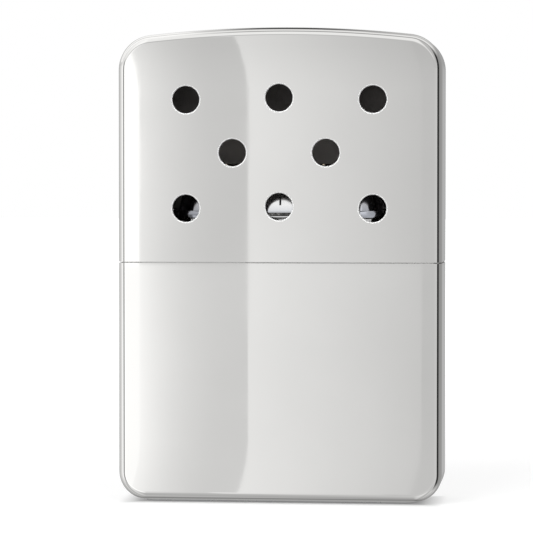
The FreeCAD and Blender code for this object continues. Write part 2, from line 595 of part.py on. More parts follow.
def make_catalyst_mat():
    """The glass-fibre pad: a thin edge pinched under the cage and a domed middle that fills it."""
    body = new_body("catalyst_mat", RIM_TOP)
    edge = new_sketch(body, "mat_edge_plan", XY)
    stadium(edge, f"{RIM_LENGTH} + 2 * sizes.mat_proud", f"{RIM_DEPTH} + 2 * sizes.mat_proud")
    pad(body, "mat_edge", edge, "sizes.mat_edge")
    inset = "2 * (sizes.cage_wall + sizes.mat_clearance)"
    dome = new_sketch(body, "mat_dome_plan", XY, "sizes.mat_edge")
    stadium(dome, f"{CAGE_LENGTH} - {inset}", f"{CAGE_DEPTH} - {inset}")
    pad(body, "mat_dome", dome, "sizes.cage_height - sizes.cage_wall - sizes.mat_headroom",
        taper="-sizes.cage_taper")
    margin = "2 * sizes.skirt_wall"
    seat = new_sketch(body, "gauze_seat_plan", XY)
    stadium(seat, f"{SKIRT_LENGTH} - {margin}", f"{SKIRT_DEPTH} - {margin}")
    pocket(body, "gauze_seat", seat, "sizes.gauze_thickness", along_normal=True)
    return body


def make_burner_cage():
    """The slotted cage over the mat: leaning walls, beveled top and slots that wrap from wall to top.

    A flat foot runs along the sides. A rounded apron at each end, notched for the tab, closes over mat and rim.
    """
    body = new_body("burner_cage", CAGE_FOOT)
    aprons = new_sketch(body, "apron_plan", XY, f"-{APRON_DROP}")
    outside = f"2 * ({APRON_REACH} + sizes.apron_wall)"
    stadium(aprons, f"{RIM_LENGTH} + {outside}", f"{RIM_DEPTH} + {outside}")
    pad(body, "aprons", aprons, f"{APRON_DROP} + sizes.cage_foot_thickness")
    room = new_sketch(body, "apron_room_plan", XY)
    stadium(room, f"{RIM_LENGTH} + 2 * {APRON_REACH}", f"{RIM_DEPTH} + 2 * {APRON_REACH}")
    pocket(body, "apron_room", room, APRON_DROP)
    sides = new_sketch(body, "open_sides_plan", XY, "sizes.cage_foot_thickness")
    straight = f"(({RIM_LENGTH} - {RIM_DEPTH}) / 2)"
    foot_edge = f"({CAGE_DEPTH} / 2 + sizes.cage_foot)"
    rectangle(sides, f"-{straight}", foot_edge, straight, RIM_DEPTH, "back_")
    rectangle(sides, f"-{straight}", f"-{RIM_DEPTH}", straight, f"-{foot_edge}", "front_")
    pocket(body, "open_sides", sides, f"{APRON_DROP} + sizes.cage_foot_thickness")
    notch = new_sketch(body, "tab_notch_profile", YZ)
    half_notch = "(sizes.tab_width / 2 + sizes.apron_gap)"
    rectangle(notch, f"-{half_notch}", f"-{APRON_DROP}", half_notch, "-(sizes.mat_edge - sizes.apron_gap)")
    pocket(body, "tab_notches", notch, f"2 * {RIM_LENGTH}", midplane=True)

    plan = new_sketch(body, "cage_plan", XY)
    stadium(plan, CAGE_LENGTH, CAGE_DEPTH)
    pad(body, "cage", plan, "sizes.cage_height", taper="-sizes.cage_taper")
    top = value("sizes.cage_height")
    chamfer(body, "cage_top", "sizes.cage_bevel", lambda edge: lies_at(edge, top))

    inside = new_sketch(body, "cage_hollow_plan", XY)
    walls = "2 * sizes.cage_wall / cos(sizes.cage_taper * 1deg)"
    stadium(inside, f"{CAGE_LENGTH} - {walls}", f"{CAGE_DEPTH} - {walls}")
    ceiling = "(sizes.cage_height - sizes.cage_wall)"
    pocket(body, "cage_hollow", inside, ceiling, along_normal=True, taper="-sizes.cage_taper")
    roof = value(ceiling)
    inner_bevel = f"(sizes.cage_bevel - {BEVEL_SHIFT} * sizes.cage_wall)"
    chamfer(body, "cage_hollow_top", inner_bevel, lambda edge: lies_at(edge, roof))

    sill = "(sizes.cage_foot_thickness + sizes.louvre_sill)"
    clear = f"(sizes.cage_height + {OVERCUT})"
    spine = "(sizes.louvre_spine / 2)"
    louvre = new_sketch(body, "louvre_profile", YZ, "-(sizes.louvre_count - 1) / 2 * sizes.louvre_pitch")
    rectangle(louvre, spine, sill, CAGE_DEPTH, clear, "back_")
    rectangle(louvre, f"-{CAGE_DEPTH}", sill, f"-{spine}", clear, "front_")
    cut = pocket(body, "louvre", louvre, "sizes.louvre_width", midplane=True)
    repeat(body, "louvres", cut, louvre, "sizes.louvre_pitch", "sizes.louvre_count")
    return body


def check(body):
    """Stops the build if any feature of a piece failed or its shape is unsound."""
    for feature in body.Group + [body]:
        if {"Invalid", "Error"} & set(feature.State):
            raise ValueError(f"{body.Label}: {feature.Name} is {feature.State}")
    if body.Shape.isNull() or not body.Shape.isValid() or len(body.Shape.Solids) != 1:
        raise ValueError(f"{body.Label}: unsound shape")


makers = [make_lid_shell, make_tank_case, make_tank_collar, make_neck, make_neck_wick, make_cotton_packing,
          make_burner_skirt, make_mat_gauze, make_catalyst_mat, make_burner_cage]
pieces = [make() for make in makers]
doc.recompute()
for piece in pieces:
    check(piece)
os.makedirs("parts", exist_ok=True)
for piece in pieces:
    piece.Shape.exportStep(f"parts/{piece.Label}.step")
    box = piece.Shape.BoundBox
    print(f"{piece.Label:16s} {piece.Shape.Volume:9.1f} mm3  x {box.XMin:6.2f}..{box.XMax:5.2f}"
          f"  y {box.YMin:6.2f}..{box.YMax:5.2f}  z {box.ZMin:5.2f}..{box.ZMax:5.2f}")
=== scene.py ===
import math
import bmesh
import bpy
import numpy as np
from mathutils import Matrix, Vector, noise
from mathutils.geometry import delaunay_2d_cdt


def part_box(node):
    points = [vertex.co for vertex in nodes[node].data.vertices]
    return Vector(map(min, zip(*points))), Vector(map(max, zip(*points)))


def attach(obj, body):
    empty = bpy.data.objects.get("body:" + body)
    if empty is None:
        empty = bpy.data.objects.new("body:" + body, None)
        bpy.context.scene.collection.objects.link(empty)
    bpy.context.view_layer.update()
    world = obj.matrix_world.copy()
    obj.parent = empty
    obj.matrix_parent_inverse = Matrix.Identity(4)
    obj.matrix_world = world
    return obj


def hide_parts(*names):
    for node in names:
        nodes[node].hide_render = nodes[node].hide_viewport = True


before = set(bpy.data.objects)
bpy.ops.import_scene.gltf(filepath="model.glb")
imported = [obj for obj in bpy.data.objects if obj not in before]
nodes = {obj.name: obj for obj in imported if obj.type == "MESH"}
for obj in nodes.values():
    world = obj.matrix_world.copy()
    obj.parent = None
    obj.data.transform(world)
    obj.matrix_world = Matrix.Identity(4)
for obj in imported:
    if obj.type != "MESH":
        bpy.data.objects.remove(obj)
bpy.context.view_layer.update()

MM = 0.001

# Places read from the frame, in metres.
LID_LOW, LID_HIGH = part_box("lid_shell")
HALF_WIDTH = LID_HIGH.x
HALF_DEPTH = LID_HIGH.y
SEAM = LID_LOW.z
CROWN = LID_HIGH.z

# Sizes of the drawn case, as in the construction model.
CROWN_RADIUS = 187.0 * MM
TOP_CORNER = 5.5 * MM
BOTTOM_CORNER = 4.4 * MM
EDGE_ROUND = 1.3 * MM
WALL = 0.45 * MM
RIM_ROUND = 0.12 * MM
FOOT_HEIGHT = 0.4 * MM
FOOT_END_INSET = 3.6 * MM
FOOT_SIDE_INSET = 2.3 * MM
FOOT_CORNER = 2.6 * MM
FOOT_RIM = 1.1 * MM
FOOT_ROUND = 0.33 * MM
VENT_RADIUS = 2.125 * MM
VENT_PITCH = 14.64 * MM
VENT_ROW_PITCH = 8.48 * MM
VENT_LIFT = 8.74 * MM
VENT_ARCH = 0.27 * MM
VENT_LIP = 0.2 * MM

DOME = 0.12 * MM  # how far the middle of a pressed broad face stands above its sides
RIM_GAP = 0.065 * MM  # how far each half stops short of the seam

# How finely the shells are divided.
FACE_SPACING = 1.1 * MM
ROLL_STEPS = 10
LIP_STEPS = 4
VENT_STEPS = 64
SIDE_STEPS = 30
CORNER_STEPS = 22
END_STEPS = 44

# Finishes of the case, in the order of its material slots. The lip's finish is a painted highlight.
CHROME, INSIDE, LIP, FOOT = 0, 1, 2, 3


# ----------------- meshes

def link(name, mesh):
    """An object for a finished mesh, at the origin."""
    obj = bpy.data.objects.new(name, mesh)
    bpy.context.scene.collection.objects.link(obj)
    return obj


def unit(way):
    return tuple(Vector(way).normalized())


def smooth(mesh):
    mesh.polygons.foreach_set("use_smooth", [True] * len(mesh.polygons))


class Skin:
    """Collects corners and faces, with the normal that each face has at each of its corners."""

    def __init__(self):
        self.corners, self.faces, self.normals, self.finishes = [], [], [], []

    def row(self, places):
        """Adds a row of corners and returns their numbers."""
        start = len(self.corners)
        self.corners += [tuple(place) for place in places]
        return list(range(start, len(self.corners)))

    def face(self, loop, normals, finish):
        """Adds a face, turned so that it looks the way its normals point."""
        points = [Vector(self.corners[i]) for i in loop]
        turn = sum(((b - points[0]).cross(c - points[0]) for b, c in zip(points[1:], points[2:])), Vector())
        if turn.dot(sum((Vector(normal) for normal in normals), Vector())) < 0:
            loop, normals = loop[::-1], normals[::-1]
        self.faces.append(loop)
        self.normals.append(normals)
        self.finishes.append(finish)

    def strip(self, rows, normals, finish):
        """Joins each closed row of corners to the next with quads."""
        for row, following, bent, bent_following in zip(rows, rows[1:], normals, normals[1:]):
            for i in range(len(row)):
                j = (i + 1) % len(row)
                self.face([row[i], row[j], following[j], following[i]],
                          [bent[i], bent[j], bent_following[j], bent_following[i]], finish)

    def finished(self, name, materials):
        """The mesh as an object, with its normals."""
        mesh = bpy.data.meshes.new(name)
        mesh.from_pydata(self.corners, [], self.faces)
        for material in materials:
            mesh.materials.append(material)
        mesh.polygons.foreach_set("material_index", self.finishes)
        smooth(mesh)
        mesh.normals_split_custom_set([normal for face in self.normals for normal in face])
        return link(name, mesh)


# ----------------- case shells

def vent_centres():
    """The eight vents: rows of three, two and three, a little lower at the sides."""
    rows = [(0, (-1, 0, 1)), (1, (-0.5, 0.5)), (2, (-1, 0, 1))]
    return [(column * VENT_PITCH, SEAM + VENT_LIFT + row * VENT_ROW_PITCH - VENT_ARCH * column ** 2)
            for row, columns in rows for column in columns]


def side_run(x, z_from, z_to):
    """Points and outward normals along one narrow side of the outline, seen from the front."""
    return [((x, z), (math.copysign(1, x), 0)) for z in np.linspace(z_from, z_to, SIDE_STEPS + 1)]


def arc_run(centre, radius, start, stop, steps):
    """Points and outward normals round an arc of the outline."""
    turns = [(math.cos(angle), math.sin(angle)) for angle in np.linspace(start, stop, steps + 1)]
    return [((centre[0] + radius * x, centre[1] + radius * z), (x, z)) for x, z in turns]


def lid_outline():
    """The lid seen from the front: up the left side, over the crown and down the right side."""
    arc_z = CROWN - CROWN_RADIUS
    corner_x = HALF_WIDTH - TOP_CORNER
    corner_z = arc_z + math.sqrt((CROWN_RADIUS - TOP_CORNER) ** 2 - corner_x ** 2)
    lean = math.atan2(corner_z - arc_z, corner_x)
    low = SEAM + RIM_ROUND
    run = side_run(-HALF_WIDTH, low, corner_z)
    run += arc_run((-corner_x, corner_z), TOP_CORNER, math.pi, math.pi - lean, CORNER_STEPS)[1:]
    run += arc_run((0, arc_z), CROWN_RADIUS, math.pi - lean, lean, END_STEPS)[1:]
    run += arc_run((corner_x, corner_z), TOP_CORNER, lean, 0, CORNER_STEPS)[1:]
    return run + side_run(HALF_WIDTH, corner_z, low)[1:]


def tank_outline():
    """The tank seen from the front: down the left side, along the bottom and up the right side."""
    corner_x = HALF_WIDTH - BOTTOM_CORNER
    corner_z = FOOT_HEIGHT + BOTTOM_CORNER
    high = SEAM - RIM_ROUND
    run = side_run(-HALF_WIDTH, high, corner_z)
    run += arc_run((-corner_x, corner_z), BOTTOM_CORNER, math.pi, 1.5 * math.pi, CORNER_STEPS)[1:]
    run += [((x, FOOT_HEIGHT), (0, -1)) for x in np.linspace(-corner_x, corner_x, END_STEPS + 1)[1:]]
    run += arc_run((corner_x, corner_z), BOTTOM_CORNER, -0.5 * math.pi, 0, CORNER_STEPS)[1:]
    return run + side_run(HALF_WIDTH, corner_z, high)[1:]


def pressed_face(x):
    """How high a broad face stands off the middle plane, and how it slopes across."""
    share = x / HALF_WIDTH
    return HALF_DEPTH - DOME * share * share, -2 * DOME * share / HALF_WIDTH


class Sheet:
    """One half of the case as a smooth sheet with no thickness, which its outer and inner skins follow."""

    def __init__(self, outline, vents):
        self.places, self.normals, self.faces, self.vents = [], [], [], []
        angles = np.linspace(0, math.pi / 2, ROLL_STEPS + 1)
        rolls, seam_rows = {}, {}
        for sign in (-1, 1):
            rolls[sign] = [[self.add(*self.rolled(place, normal, sign, angle)) for place, normal in outline]
                           for angle in angles]
            seam_rows[sign] = self.broad_face(rolls[sign][0], sign, vents if sign < 0 else [])
            for row, following in zip(rolls[sign], rolls[sign][1:]):
                self.join(row, following)
        self.join(rolls[-1][-1], rolls[1][-1])
        left, right = 0, len(outline) - 1
        self.rim = seam_rows[-1]
        self.rim += [row[left] for row in rolls[-1]] + [row[left] for row in rolls[1][::-1]]
        self.rim += seam_rows[1][::-1]
        self.rim += [row[right] for row in rolls[1]] + [row[right] for row in rolls[-1][::-1]]

    def add(self, place, normal):
        self.places.append(place)
        self.normals.append(normal)
        return len(self.places) - 1

    def join(self, row, following):
        for i in range(len(row) - 1):
            self.faces.append([row[i], row[i + 1], following[i + 1], following[i]])

    def rolled(self, place, normal, sign, angle):
        """A point of the rolled edge, at an angle from the broad face, and the way that it looks."""
        x, z = place[0] - normal[0] * EDGE_ROUND, place[1] - normal[1] * EDGE_ROUND
        height, slope = pressed_face(x)
        out, drop = math.sin(angle), 1 - math.cos(angle)
        way = (normal[0] * out - slope * (1 - out), sign * math.cos(angle), normal[1] * out)
        return ((x + normal[0] * EDGE_ROUND * out, sign * (height - EDGE_ROUND * drop),
                 z + normal[1] * EDGE_ROUND * out), unit(way))

    def on_face(self, x, z, sign):
        height, slope = pressed_face(x)
        return (x, sign * height, z), unit((-slope, sign, 0))

    def broad_face(self, edge, sign, vents):
        """Fills a broad face inside its rolled edge. Returns its corners along the seam, right to left."""
        first, last = self.places[edge[0]], self.places[edge[-1]]
        count = round((last[0] - first[0]) / FACE_SPACING)
        across = np.linspace(last[0], first[0], count + 1)[1:-1]
        seam_row = [self.add(*self.on_face(x, first[2], sign)) for x in across]
        rings = [edge + seam_row]
        reach = VENT_RADIUS + VENT_LIP
        for x, z in vents:
            turns = np.linspace(0, 2 * math.pi, VENT_STEPS, endpoint=False)
            rings.append([self.add(*self.on_face(x + reach * math.cos(a), z + reach * math.sin(a), sign))
                          for a in turns])
        self.vents += rings[1:]
        bounds = [(self.places[i][0], self.places[i][2]) for ring in rings for i in ring]
        inner = face_points(bounds, vents)
        numbers = [i for ring in rings for i in ring]
        numbers += [self.add(*self.on_face(x, z, sign)) for x, z in inner]
        edges, start = [], 0
        for ring in rings:
            edges += [(start + i, start + (i + 1) % len(ring)) for i in range(len(ring))]
            start += len(ring)
        flat = [Vector(point) for point in bounds + inner]
        vent_of = {corner: number for number, ring in enumerate(rings[1:]) for corner in ring}
        inside_edges, same_point = 1, 1e-9
        for triangle in delaunay_2d_cdt(flat, edges, [], inside_edges, same_point)[2]:
            corners = [numbers[i] for i in triangle]
            touched = {vent_of.get(corner) for corner in corners}
            if None in touched or len(touched) > 1:
                self.faces.append(corners)
        return seam_row


def face_points(bounds, vents):
    """A staggered spread of points between the edge of a broad face and its vents."""
    edge = np.array(bounds)
    (low_x, low_z), (high_x, high_z) = edge.min(0), edge.max(0)
    rise = FACE_SPACING * math.sqrt(3) / 2
    columns = math.ceil(HALF_WIDTH / FACE_SPACING)
    points = []
    for row in range(1, int((high_z - low_z) / rise) + 1):
        z = low_z + row * rise
        for column in range(-columns, columns + 1):
            x = (column + row % 2 / 2) * FACE_SPACING
            off_vents = all(math.hypot(x - vx, z - vz) > VENT_RADIUS + VENT_LIP for vx, vz in vents)
            off_edge = np.min(np.hypot(edge[:, 0] - x, edge[:, 1] - z)) > FACE_SPACING / 2
            if low_x < x < high_x and off_vents and off_edge:
                points.append((x, z))
    return points


def half_shell(name, outline, vents, materials):
    """One drawn half of the case, with its wall, the lips of its vents and its rolled rim."""
    sheet = Sheet(outline, vents)
    skin = Skin()
    opening = -1 if SEAM < sheet.places[sheet.rim[0]][2] else 1
    outer = skin.row(sheet.places)
    inner = skin.row(inner_places(sheet, vents, opening))
    inward = [tuple(-part for part in normal) for normal in sheet.normals]
    for face in sheet.faces:
        skin.face([outer[i] for i in face], [sheet.normals[i] for i in face], CHROME)
        skin.face([inner[i] for i in face], [inward[i] for i in face], INSIDE)
    for ring, (x, z) in zip(sheet.vents, vents):
        vent_lip(skin, sheet, outer, inner, ring, x, z)
    rolled_rim(skin, sheet, outer, inner, opening)
    if opening > 0:
        foot_rim(skin)
    return skin.finished(name, materials)


def inner_places(sheet, vents, opening):
    """The inner skin: a wall's thickness in, level at the rim and straight through at the vents."""
    places = [tuple(np.subtract(place, np.multiply(WALL, normal)))
              for place, normal in zip(sheet.places, sheet.normals)]
    for i in sheet.rim:
        places[i] = (places[i][0], places[i][1], SEAM - opening * RIM_GAP)
    for ring, (x, z) in zip(sheet.vents, vents):
        for i in ring:
            away = Vector((places[i][0] - x, places[i][2] - z)).normalized() * VENT_RADIUS
            places[i] = (x + away.x, places[i][1], z + away.y)
    return places


def vent_lip(skin, sheet, outer, inner, ring, x, z):
    """The rounded edge of one vent, and the wall behind it."""
    to_axis = [unit((x - sheet.places[i][0], 0, z - sheet.places[i][2])) for i in ring]
    rows, bent = [[outer[i] for i in ring]], [[sheet.normals[i] for i in ring]]
    for angle in np.linspace(0, math.pi / 2, LIP_STEPS + 1)[1:]:
        lip_in, lip_down = VENT_LIP * math.sin(angle), VENT_LIP * (1 - math.cos(angle))
        rows.append(skin.row([Vector(sheet.places[i]) + Vector(axis) * lip_in + Vector((0, lip_down, 0))
                              for i, axis in zip(ring, to_axis)]))
        bent.append([unit(Vector(axis) * math.sin(angle) + Vector(sheet.normals[i]) * math.cos(angle))
                     for i, axis in zip(ring, to_axis)])
    skin.strip(rows, bent, LIP)
    skin.strip([rows[-1], [inner[i] for i in ring]], [to_axis, to_axis], INSIDE)


def rolled_rim(skin, sheet, outer, inner, opening):
    """The open edge at the seam, rounded on its outside."""
    rows, bent = [[outer[i] for i in sheet.rim]], [[sheet.normals[i] for i in sheet.rim]]
    end = (0, 0, opening)
    for angle in np.linspace(0, math.pi / 2, LIP_STEPS + 1)[1:]:
        shift = Vector((0, 0, opening * (RIM_ROUND - RIM_GAP) * math.sin(angle)))
        back = RIM_ROUND * (1 - math.cos(angle))
        rows.append(skin.row([Vector(sheet.places[i]) - Vector(sheet.normals[i]) * back + shift
                              for i in sheet.rim]))
        bent.append([unit(Vector(sheet.normals[i]) * math.cos(angle) + Vector(end) * math.sin(angle))
                     for i in sheet.rim])
    skin.strip(rows, bent, CHROME)
    ends = [end] * len(sheet.rim)
    skin.strip([rows[-1], [inner[i] for i in sheet.rim]], [ends, ends], INSIDE)


def foot_rim(skin):
    """The low rim that the tank stands on, with rounded edges. Its top is sunk into the tank's floor."""
    top = FOOT_HEIGHT + WALL / 2
    outer = [(0, top, 0), (0, FOOT_ROUND, 0)]
    outer += [(FOOT_ROUND * (1 - math.cos(angle)), FOOT_ROUND * (1 - math.sin(angle)), angle)
              for angle in np.linspace(0, math.pi / 2, LIP_STEPS + 1)[1:]]
    inner = [(FOOT_RIM - inset, z, math.pi - angle) for inset, z, angle in outer[::-1]]
    rows, bent = [], []
    for inset, z, angle in outer + inner:
        places, ways = foot_loop(inset)
        rows.append(skin.row([(x, y, z) for x, y in places]))
        bent.append([unit((x * math.cos(angle), y * math.cos(angle), -math.sin(angle))) for x, y in ways])
    skin.strip(rows, bent, FOOT)
    up = [(0, 0, 1)] * len(rows[0])
    skin.strip([rows[-1], rows[0]], [up, up], FOOT)


def foot_loop(inset):
    """Points round the foot rim, drawn in by an inset, and the ways that they look."""
    radius = FOOT_CORNER - inset
    reach_x = HALF_WIDTH - FOOT_END_INSET - FOOT_CORNER
    reach_y = HALF_DEPTH - FOOT_SIDE_INSET - FOOT_CORNER
    places, ways = [], []
    for corner, (side_x, side_y) in enumerate([(1, 1), (-1, 1), (-1, -1), (1, -1)]):
        for angle in np.linspace(corner * math.pi / 2, (corner + 1) * math.pi / 2, CORNER_STEPS + 1):
            way_x, way_y = math.cos(angle), math.sin(angle)
            places.append((side_x * reach_x + radius * way_x, side_y * reach_y + radius * way_y))
            ways.append((way_x, way_y))
    return places, ways


# ----------------- node trees

# The kinds of socket that trees and groups take their values through.
NUMBER, COLOUR, WHOLE, FINISH = "NodeSocketFloat", "NodeSocketColor", "NodeSocketInt", "NodeSocketMaterial"

# A fibre's bend and the spread of lengths, as shares of its length, and how finely it is divided.
FIBRE_BOW, FIBRE_BOW_HEIGHT = 0.25, 0.6
FIBRE_SHORTEST, FIBRE_LONGEST = 0.4, 1.3
FIBRE_STEPS, FIBRE_SIDES = 3, 3

# How finely the gauze is divided: a wire for each pitch and round its section, and each corner of the hem.
WIRE_STEPS, WIRE_SIDES, HEM_STEPS = 4.0, 5, 24


def node(tree, kind, sockets=None, **settings):
    """Adds a node. A socket is given a number, a colour or another node's socket."""
    made = tree.nodes.new(kind)
    for name, setting in settings.items():
        setattr(made, name, setting)
    for name, given in (sockets or {}).items():
        if isinstance(given, bpy.types.NodeSocket):
            tree.links.new(given, made.inputs[name])
        else:
            made.inputs[name].default_value = given
    return made


def sums(tree, operation, first, second=0.0):
    """One step of arithmetic on one or two numbers or sockets."""
    return node(tree, "ShaderNodeMath", {0: first, 1: second}, operation=operation).outputs[0]


def times(tree, first, second):
    """The product of two numbers or sockets."""
    return sums(tree, "MULTIPLY", first, second)


def vector(tree, **parts):
    """A vector from its X, Y and Z parts."""
    return node(tree, "ShaderNodeCombineXYZ", parts).outputs[0]


def parts_of(tree, place):
    """The X, Y and Z parts of a vector."""
    return node(tree, "ShaderNodeSeparateXYZ", {0: place}).outputs


def ranged(tree, value, start, stop, low=0.0, high=1.0):
    """A number that runs from low to high as a value runs from start to stop."""
    return node(tree, "ShaderNodeMapRange", {"Value": value, "From Min": start, "From Max": stop,
                                             "To Min": low, "To Max": high}).outputs[0]


def geometry(tree, kind, sockets=None, **settings):
    """Adds a Geometry Nodes node, named without its prefix, and returns its first output."""
    return node(tree, "GeometryNode" + kind, sockets, **settings).outputs[0]


def geometry_tree(name, inputs):
    """A Geometry Nodes tree with named inputs. Returns it with what it is given and its output."""
    tree = bpy.data.node_groups.new(name, "GeometryNodeTree")
    for socket_name, kind in [("Geometry", "NodeSocketGeometry")] + inputs:
        tree.interface.new_socket(socket_name, in_out="INPUT", socket_type=kind)
    tree.interface.new_socket("Geometry", in_out="OUTPUT", socket_type="NodeSocketGeometry")
    return tree, tree.nodes.new("NodeGroupInput").outputs, tree.nodes.new("NodeGroupOutput").inputs[0]


def baked(obj):
    """Replaces an object's mesh by what its modifiers make of it, and removes them."""
    graph = bpy.context.evaluated_depsgraph_get()
    finished = obj.evaluated_get(graph)
    mesh = bpy.data.meshes.new_from_object(finished, preserve_all_data_layers=True, depsgraph=graph)
    mesh.name = obj.name
    obj.modifiers.clear()
    obj.data = mesh
    return obj


def run_tree(obj, tree, values):
    """Runs a Geometry Nodes tree on an object with these inputs, and keeps the plain mesh that it makes."""
    modifier = obj.modifiers.new(tree.name, "NODES")
    modifier.node_group = tree
    for item in tree.interface.items_tree:
        if item.in_out == "INPUT" and item.name in values:
            modifier[item.identifier] = values[item.name]
    return baked(obj)


def made_real(tree, shape, material):
    """Ends a tree: copies made real, then the material."""
    real = geometry(tree, "RealizeInstances", {"Geometry": shape})
    return geometry(tree, "SetMaterial", {"Geometry": real, "Material": material})


def fibre_tree():
    """Short bent fibres that stand or lie on the part of a surface between two heights."""
    sizes = [(size, NUMBER) for size in ("Density", "Low", "High", "Length", "Thickness", "Lie")]
    tree, given, output = geometry_tree("fibres", sizes + [("Seed", WHOLE), ("Material", FINISH)])
    height = parts_of(tree, geometry(tree, "InputPosition"))["Z"]
    above = sums(tree, "GREATER_THAN", height, given["Low"])
    below = sums(tree, "LESS_THAN", height, given["High"])
    spots = node(tree, "GeometryNodeDistributePointsOnFaces", {
        "Mesh": given["Geometry"], "Density": times(tree, times(tree, above, below), given["Density"]),
        "Seed": given["Seed"]}).outputs
    length, lie = given["Length"], given["Lie"]
    middle = vector(tree, X=times(tree, length, FIBRE_BOW), Z=times(tree, length, FIBRE_BOW_HEIGHT))
    line = geometry(tree, "CurveQuadraticBezier", {
        "Resolution": FIBRE_STEPS, "Start": (0, 0, 0), "Middle": middle, "End": vector(tree, Z=length)})
    section = geometry(tree, "CurvePrimitiveCircle", {
        "Resolution": FIBRE_SIDES, "Radius": given["Thickness"]})
    fibre = geometry(tree, "CurveToMesh", {"Curve": line, "Profile Curve": section, "Fill Caps": True})
    fallen = times(tree, lie, -1.0)
    turn = node(tree, "FunctionNodeRandomValue", {
        0: vector(tree, X=fallen, Y=fallen, Z=-math.pi), 1: vector(tree, X=lie, Y=lie, Z=math.pi),
        "Seed": given["Seed"]}, data_type="FLOAT_VECTOR").outputs[0]
    turn_by = node(tree, "FunctionNodeEulerToRotation", {0: turn}).outputs[0]
    turned = node(tree, "FunctionNodeRotateRotation", {
        "Rotation": spots["Rotation"], "Rotate By": turn_by}, rotation_space="LOCAL").outputs[0]
    size = node(tree, "FunctionNodeRandomValue", {
        2: FIBRE_SHORTEST, 3: FIBRE_LONGEST, "Seed": given["Seed"]}, data_type="FLOAT").outputs[1]
    placed = geometry(tree, "InstanceOnPoints", {
        "Points": spots["Points"], "Instance": fibre, "Rotation": turned, "Scale": size})
    both = node(tree, "GeometryNodeJoinGeometry")
    tree.links.new(made_real(tree, placed, given["Material"]), both.inputs[0])
    tree.links.new(given["Geometry"], both.inputs[0])
    tree.links.new(both.outputs[0], output)
    return tree


def weave_tree():
    """Wire gauze: two sets of wires that pass over and under each other, cut to a slot shape and hemmed."""
    sizes = [(size, NUMBER) for size in ("Half Length", "Half Depth", "Pitch", "Wire", "Height")]
    tree, given, output = geometry_tree("weave", sizes + [("Material", FINISH)])
    length, depth, pitch = given["Half Length"], given["Half Depth"], given["Pitch"]
    place = parts_of(tree, geometry(tree, "InputPosition"))
    per_pitch = sums(tree, "DIVIDE", math.pi, pitch)
    wave_x = sums(tree, "SINE", times(tree, place["X"], per_pitch))
    wave_y = sums(tree, "COSINE", times(tree, place["Y"], per_pitch))
    wave = times(tree, times(tree, wave_x, wave_y), given["Wire"])
    straight = sums(tree, "SUBTRACT", length, depth)
    past_end = sums(tree, "SUBTRACT", sums(tree, "ABSOLUTE", place["X"]), straight)
    from_spine = node(tree, "ShaderNodeVectorMath", {
        0: vector(tree, X=sums(tree, "MAXIMUM", past_end, 0.0), Y=place["Y"])}, operation="LENGTH")
    outside = sums(tree, "GREATER_THAN", from_spine.outputs["Value"], depth)
    section = geometry(tree, "CurvePrimitiveCircle", {"Resolution": WIRE_SIDES, "Radius": given["Wire"]})
    joined = node(tree, "GeometryNodeJoinGeometry")
    for way, side, along, across, offset, sign in (
            ("X", "Y", length, depth, 0.0, 1.0), ("Y", "X", depth, length, 0.5, -1.0)):
        wire = geometry(tree, "CurvePrimitiveLine", {
            "Start": vector(tree, **{way: times(tree, along, -1.0)}), "End": vector(tree, **{way: along})})
        steps = sums(tree, "DIVIDE", times(tree, along, 2 * WIRE_STEPS), pitch)
        fine = geometry(tree, "ResampleCurve", {"Curve": wire, "Count": steps})
        to_side = sums(tree, "FLOOR", sums(tree, "DIVIDE", across, pitch))
        first = times(tree, sums(tree, "SUBTRACT", offset, to_side), pitch)
        row = geometry(tree, "MeshLine", {
            "Count": sums(tree, "ADD", times(tree, to_side, 2.0), 1.0),
            "Start Location": vector(tree, **{side: first}), "Offset": vector(tree, **{side: pitch})})
        wires = geometry(tree, "InstanceOnPoints", {"Points": row, "Instance": fine})
        real = geometry(tree, "RealizeInstances", {"Geometry": wires})
        cut = geometry(tree, "DeleteGeometry", {"Geometry": real, "Selection": outside})
        woven = geometry(tree, "SetPosition", {
            "Geometry": cut, "Offset": vector(tree, Z=times(tree, wave, sign))})
        tube = geometry(tree, "CurveToMesh", {"Curve": woven, "Profile Curve": section, "Fill Caps": True})
        tree.links.new(tube, joined.inputs[0])
    outline = geometry(tree, "CurvePrimitiveQuadrilateral", {
        "Width": times(tree, length, 2.0), "Height": times(tree, depth, 2.0)})
    rounded = geometry(tree, "FilletCurve", {
        "Curve": outline, "Count": HEM_STEPS, "Limit Radius": True, "Radius": depth}, mode="POLY")
    hem = geometry(tree, "CurveToMesh", {"Curve": rounded, "Profile Curve": section})
    tree.links.new(hem, joined.inputs[0])
    raised = geometry(tree, "Transform", {
        "Geometry": joined.outputs[0], "Translation": vector(tree, Z=given["Height"])})
    tree.links.new(made_real(tree, raised, given["Material"]), output)
    return tree


# ----------------- burner and packing shapes

END_AXIS = 12.3 * MM  # the upright axes that the burner's round ends are drawn about
TAB_REACH = 1.4 * MM  # how far the folded end tabs reach from the middle plane


def merged_copy(source):
    """A copy of a node's mesh with its loose triangles joined and its flat faces whole."""
    shape = bmesh.new()
    shape.from_mesh(nodes[source].data)
    bmesh.ops.remove_doubles(shape, verts=shape.verts, dist=0.002 * MM)
    bmesh.ops.dissolve_limit(shape, angle_limit=math.radians(0.5), verts=shape.verts, edges=shape.edges)
    mesh = bpy.data.meshes.new(source)
    shape.to_mesh(mesh)
    shape.free()
    return mesh


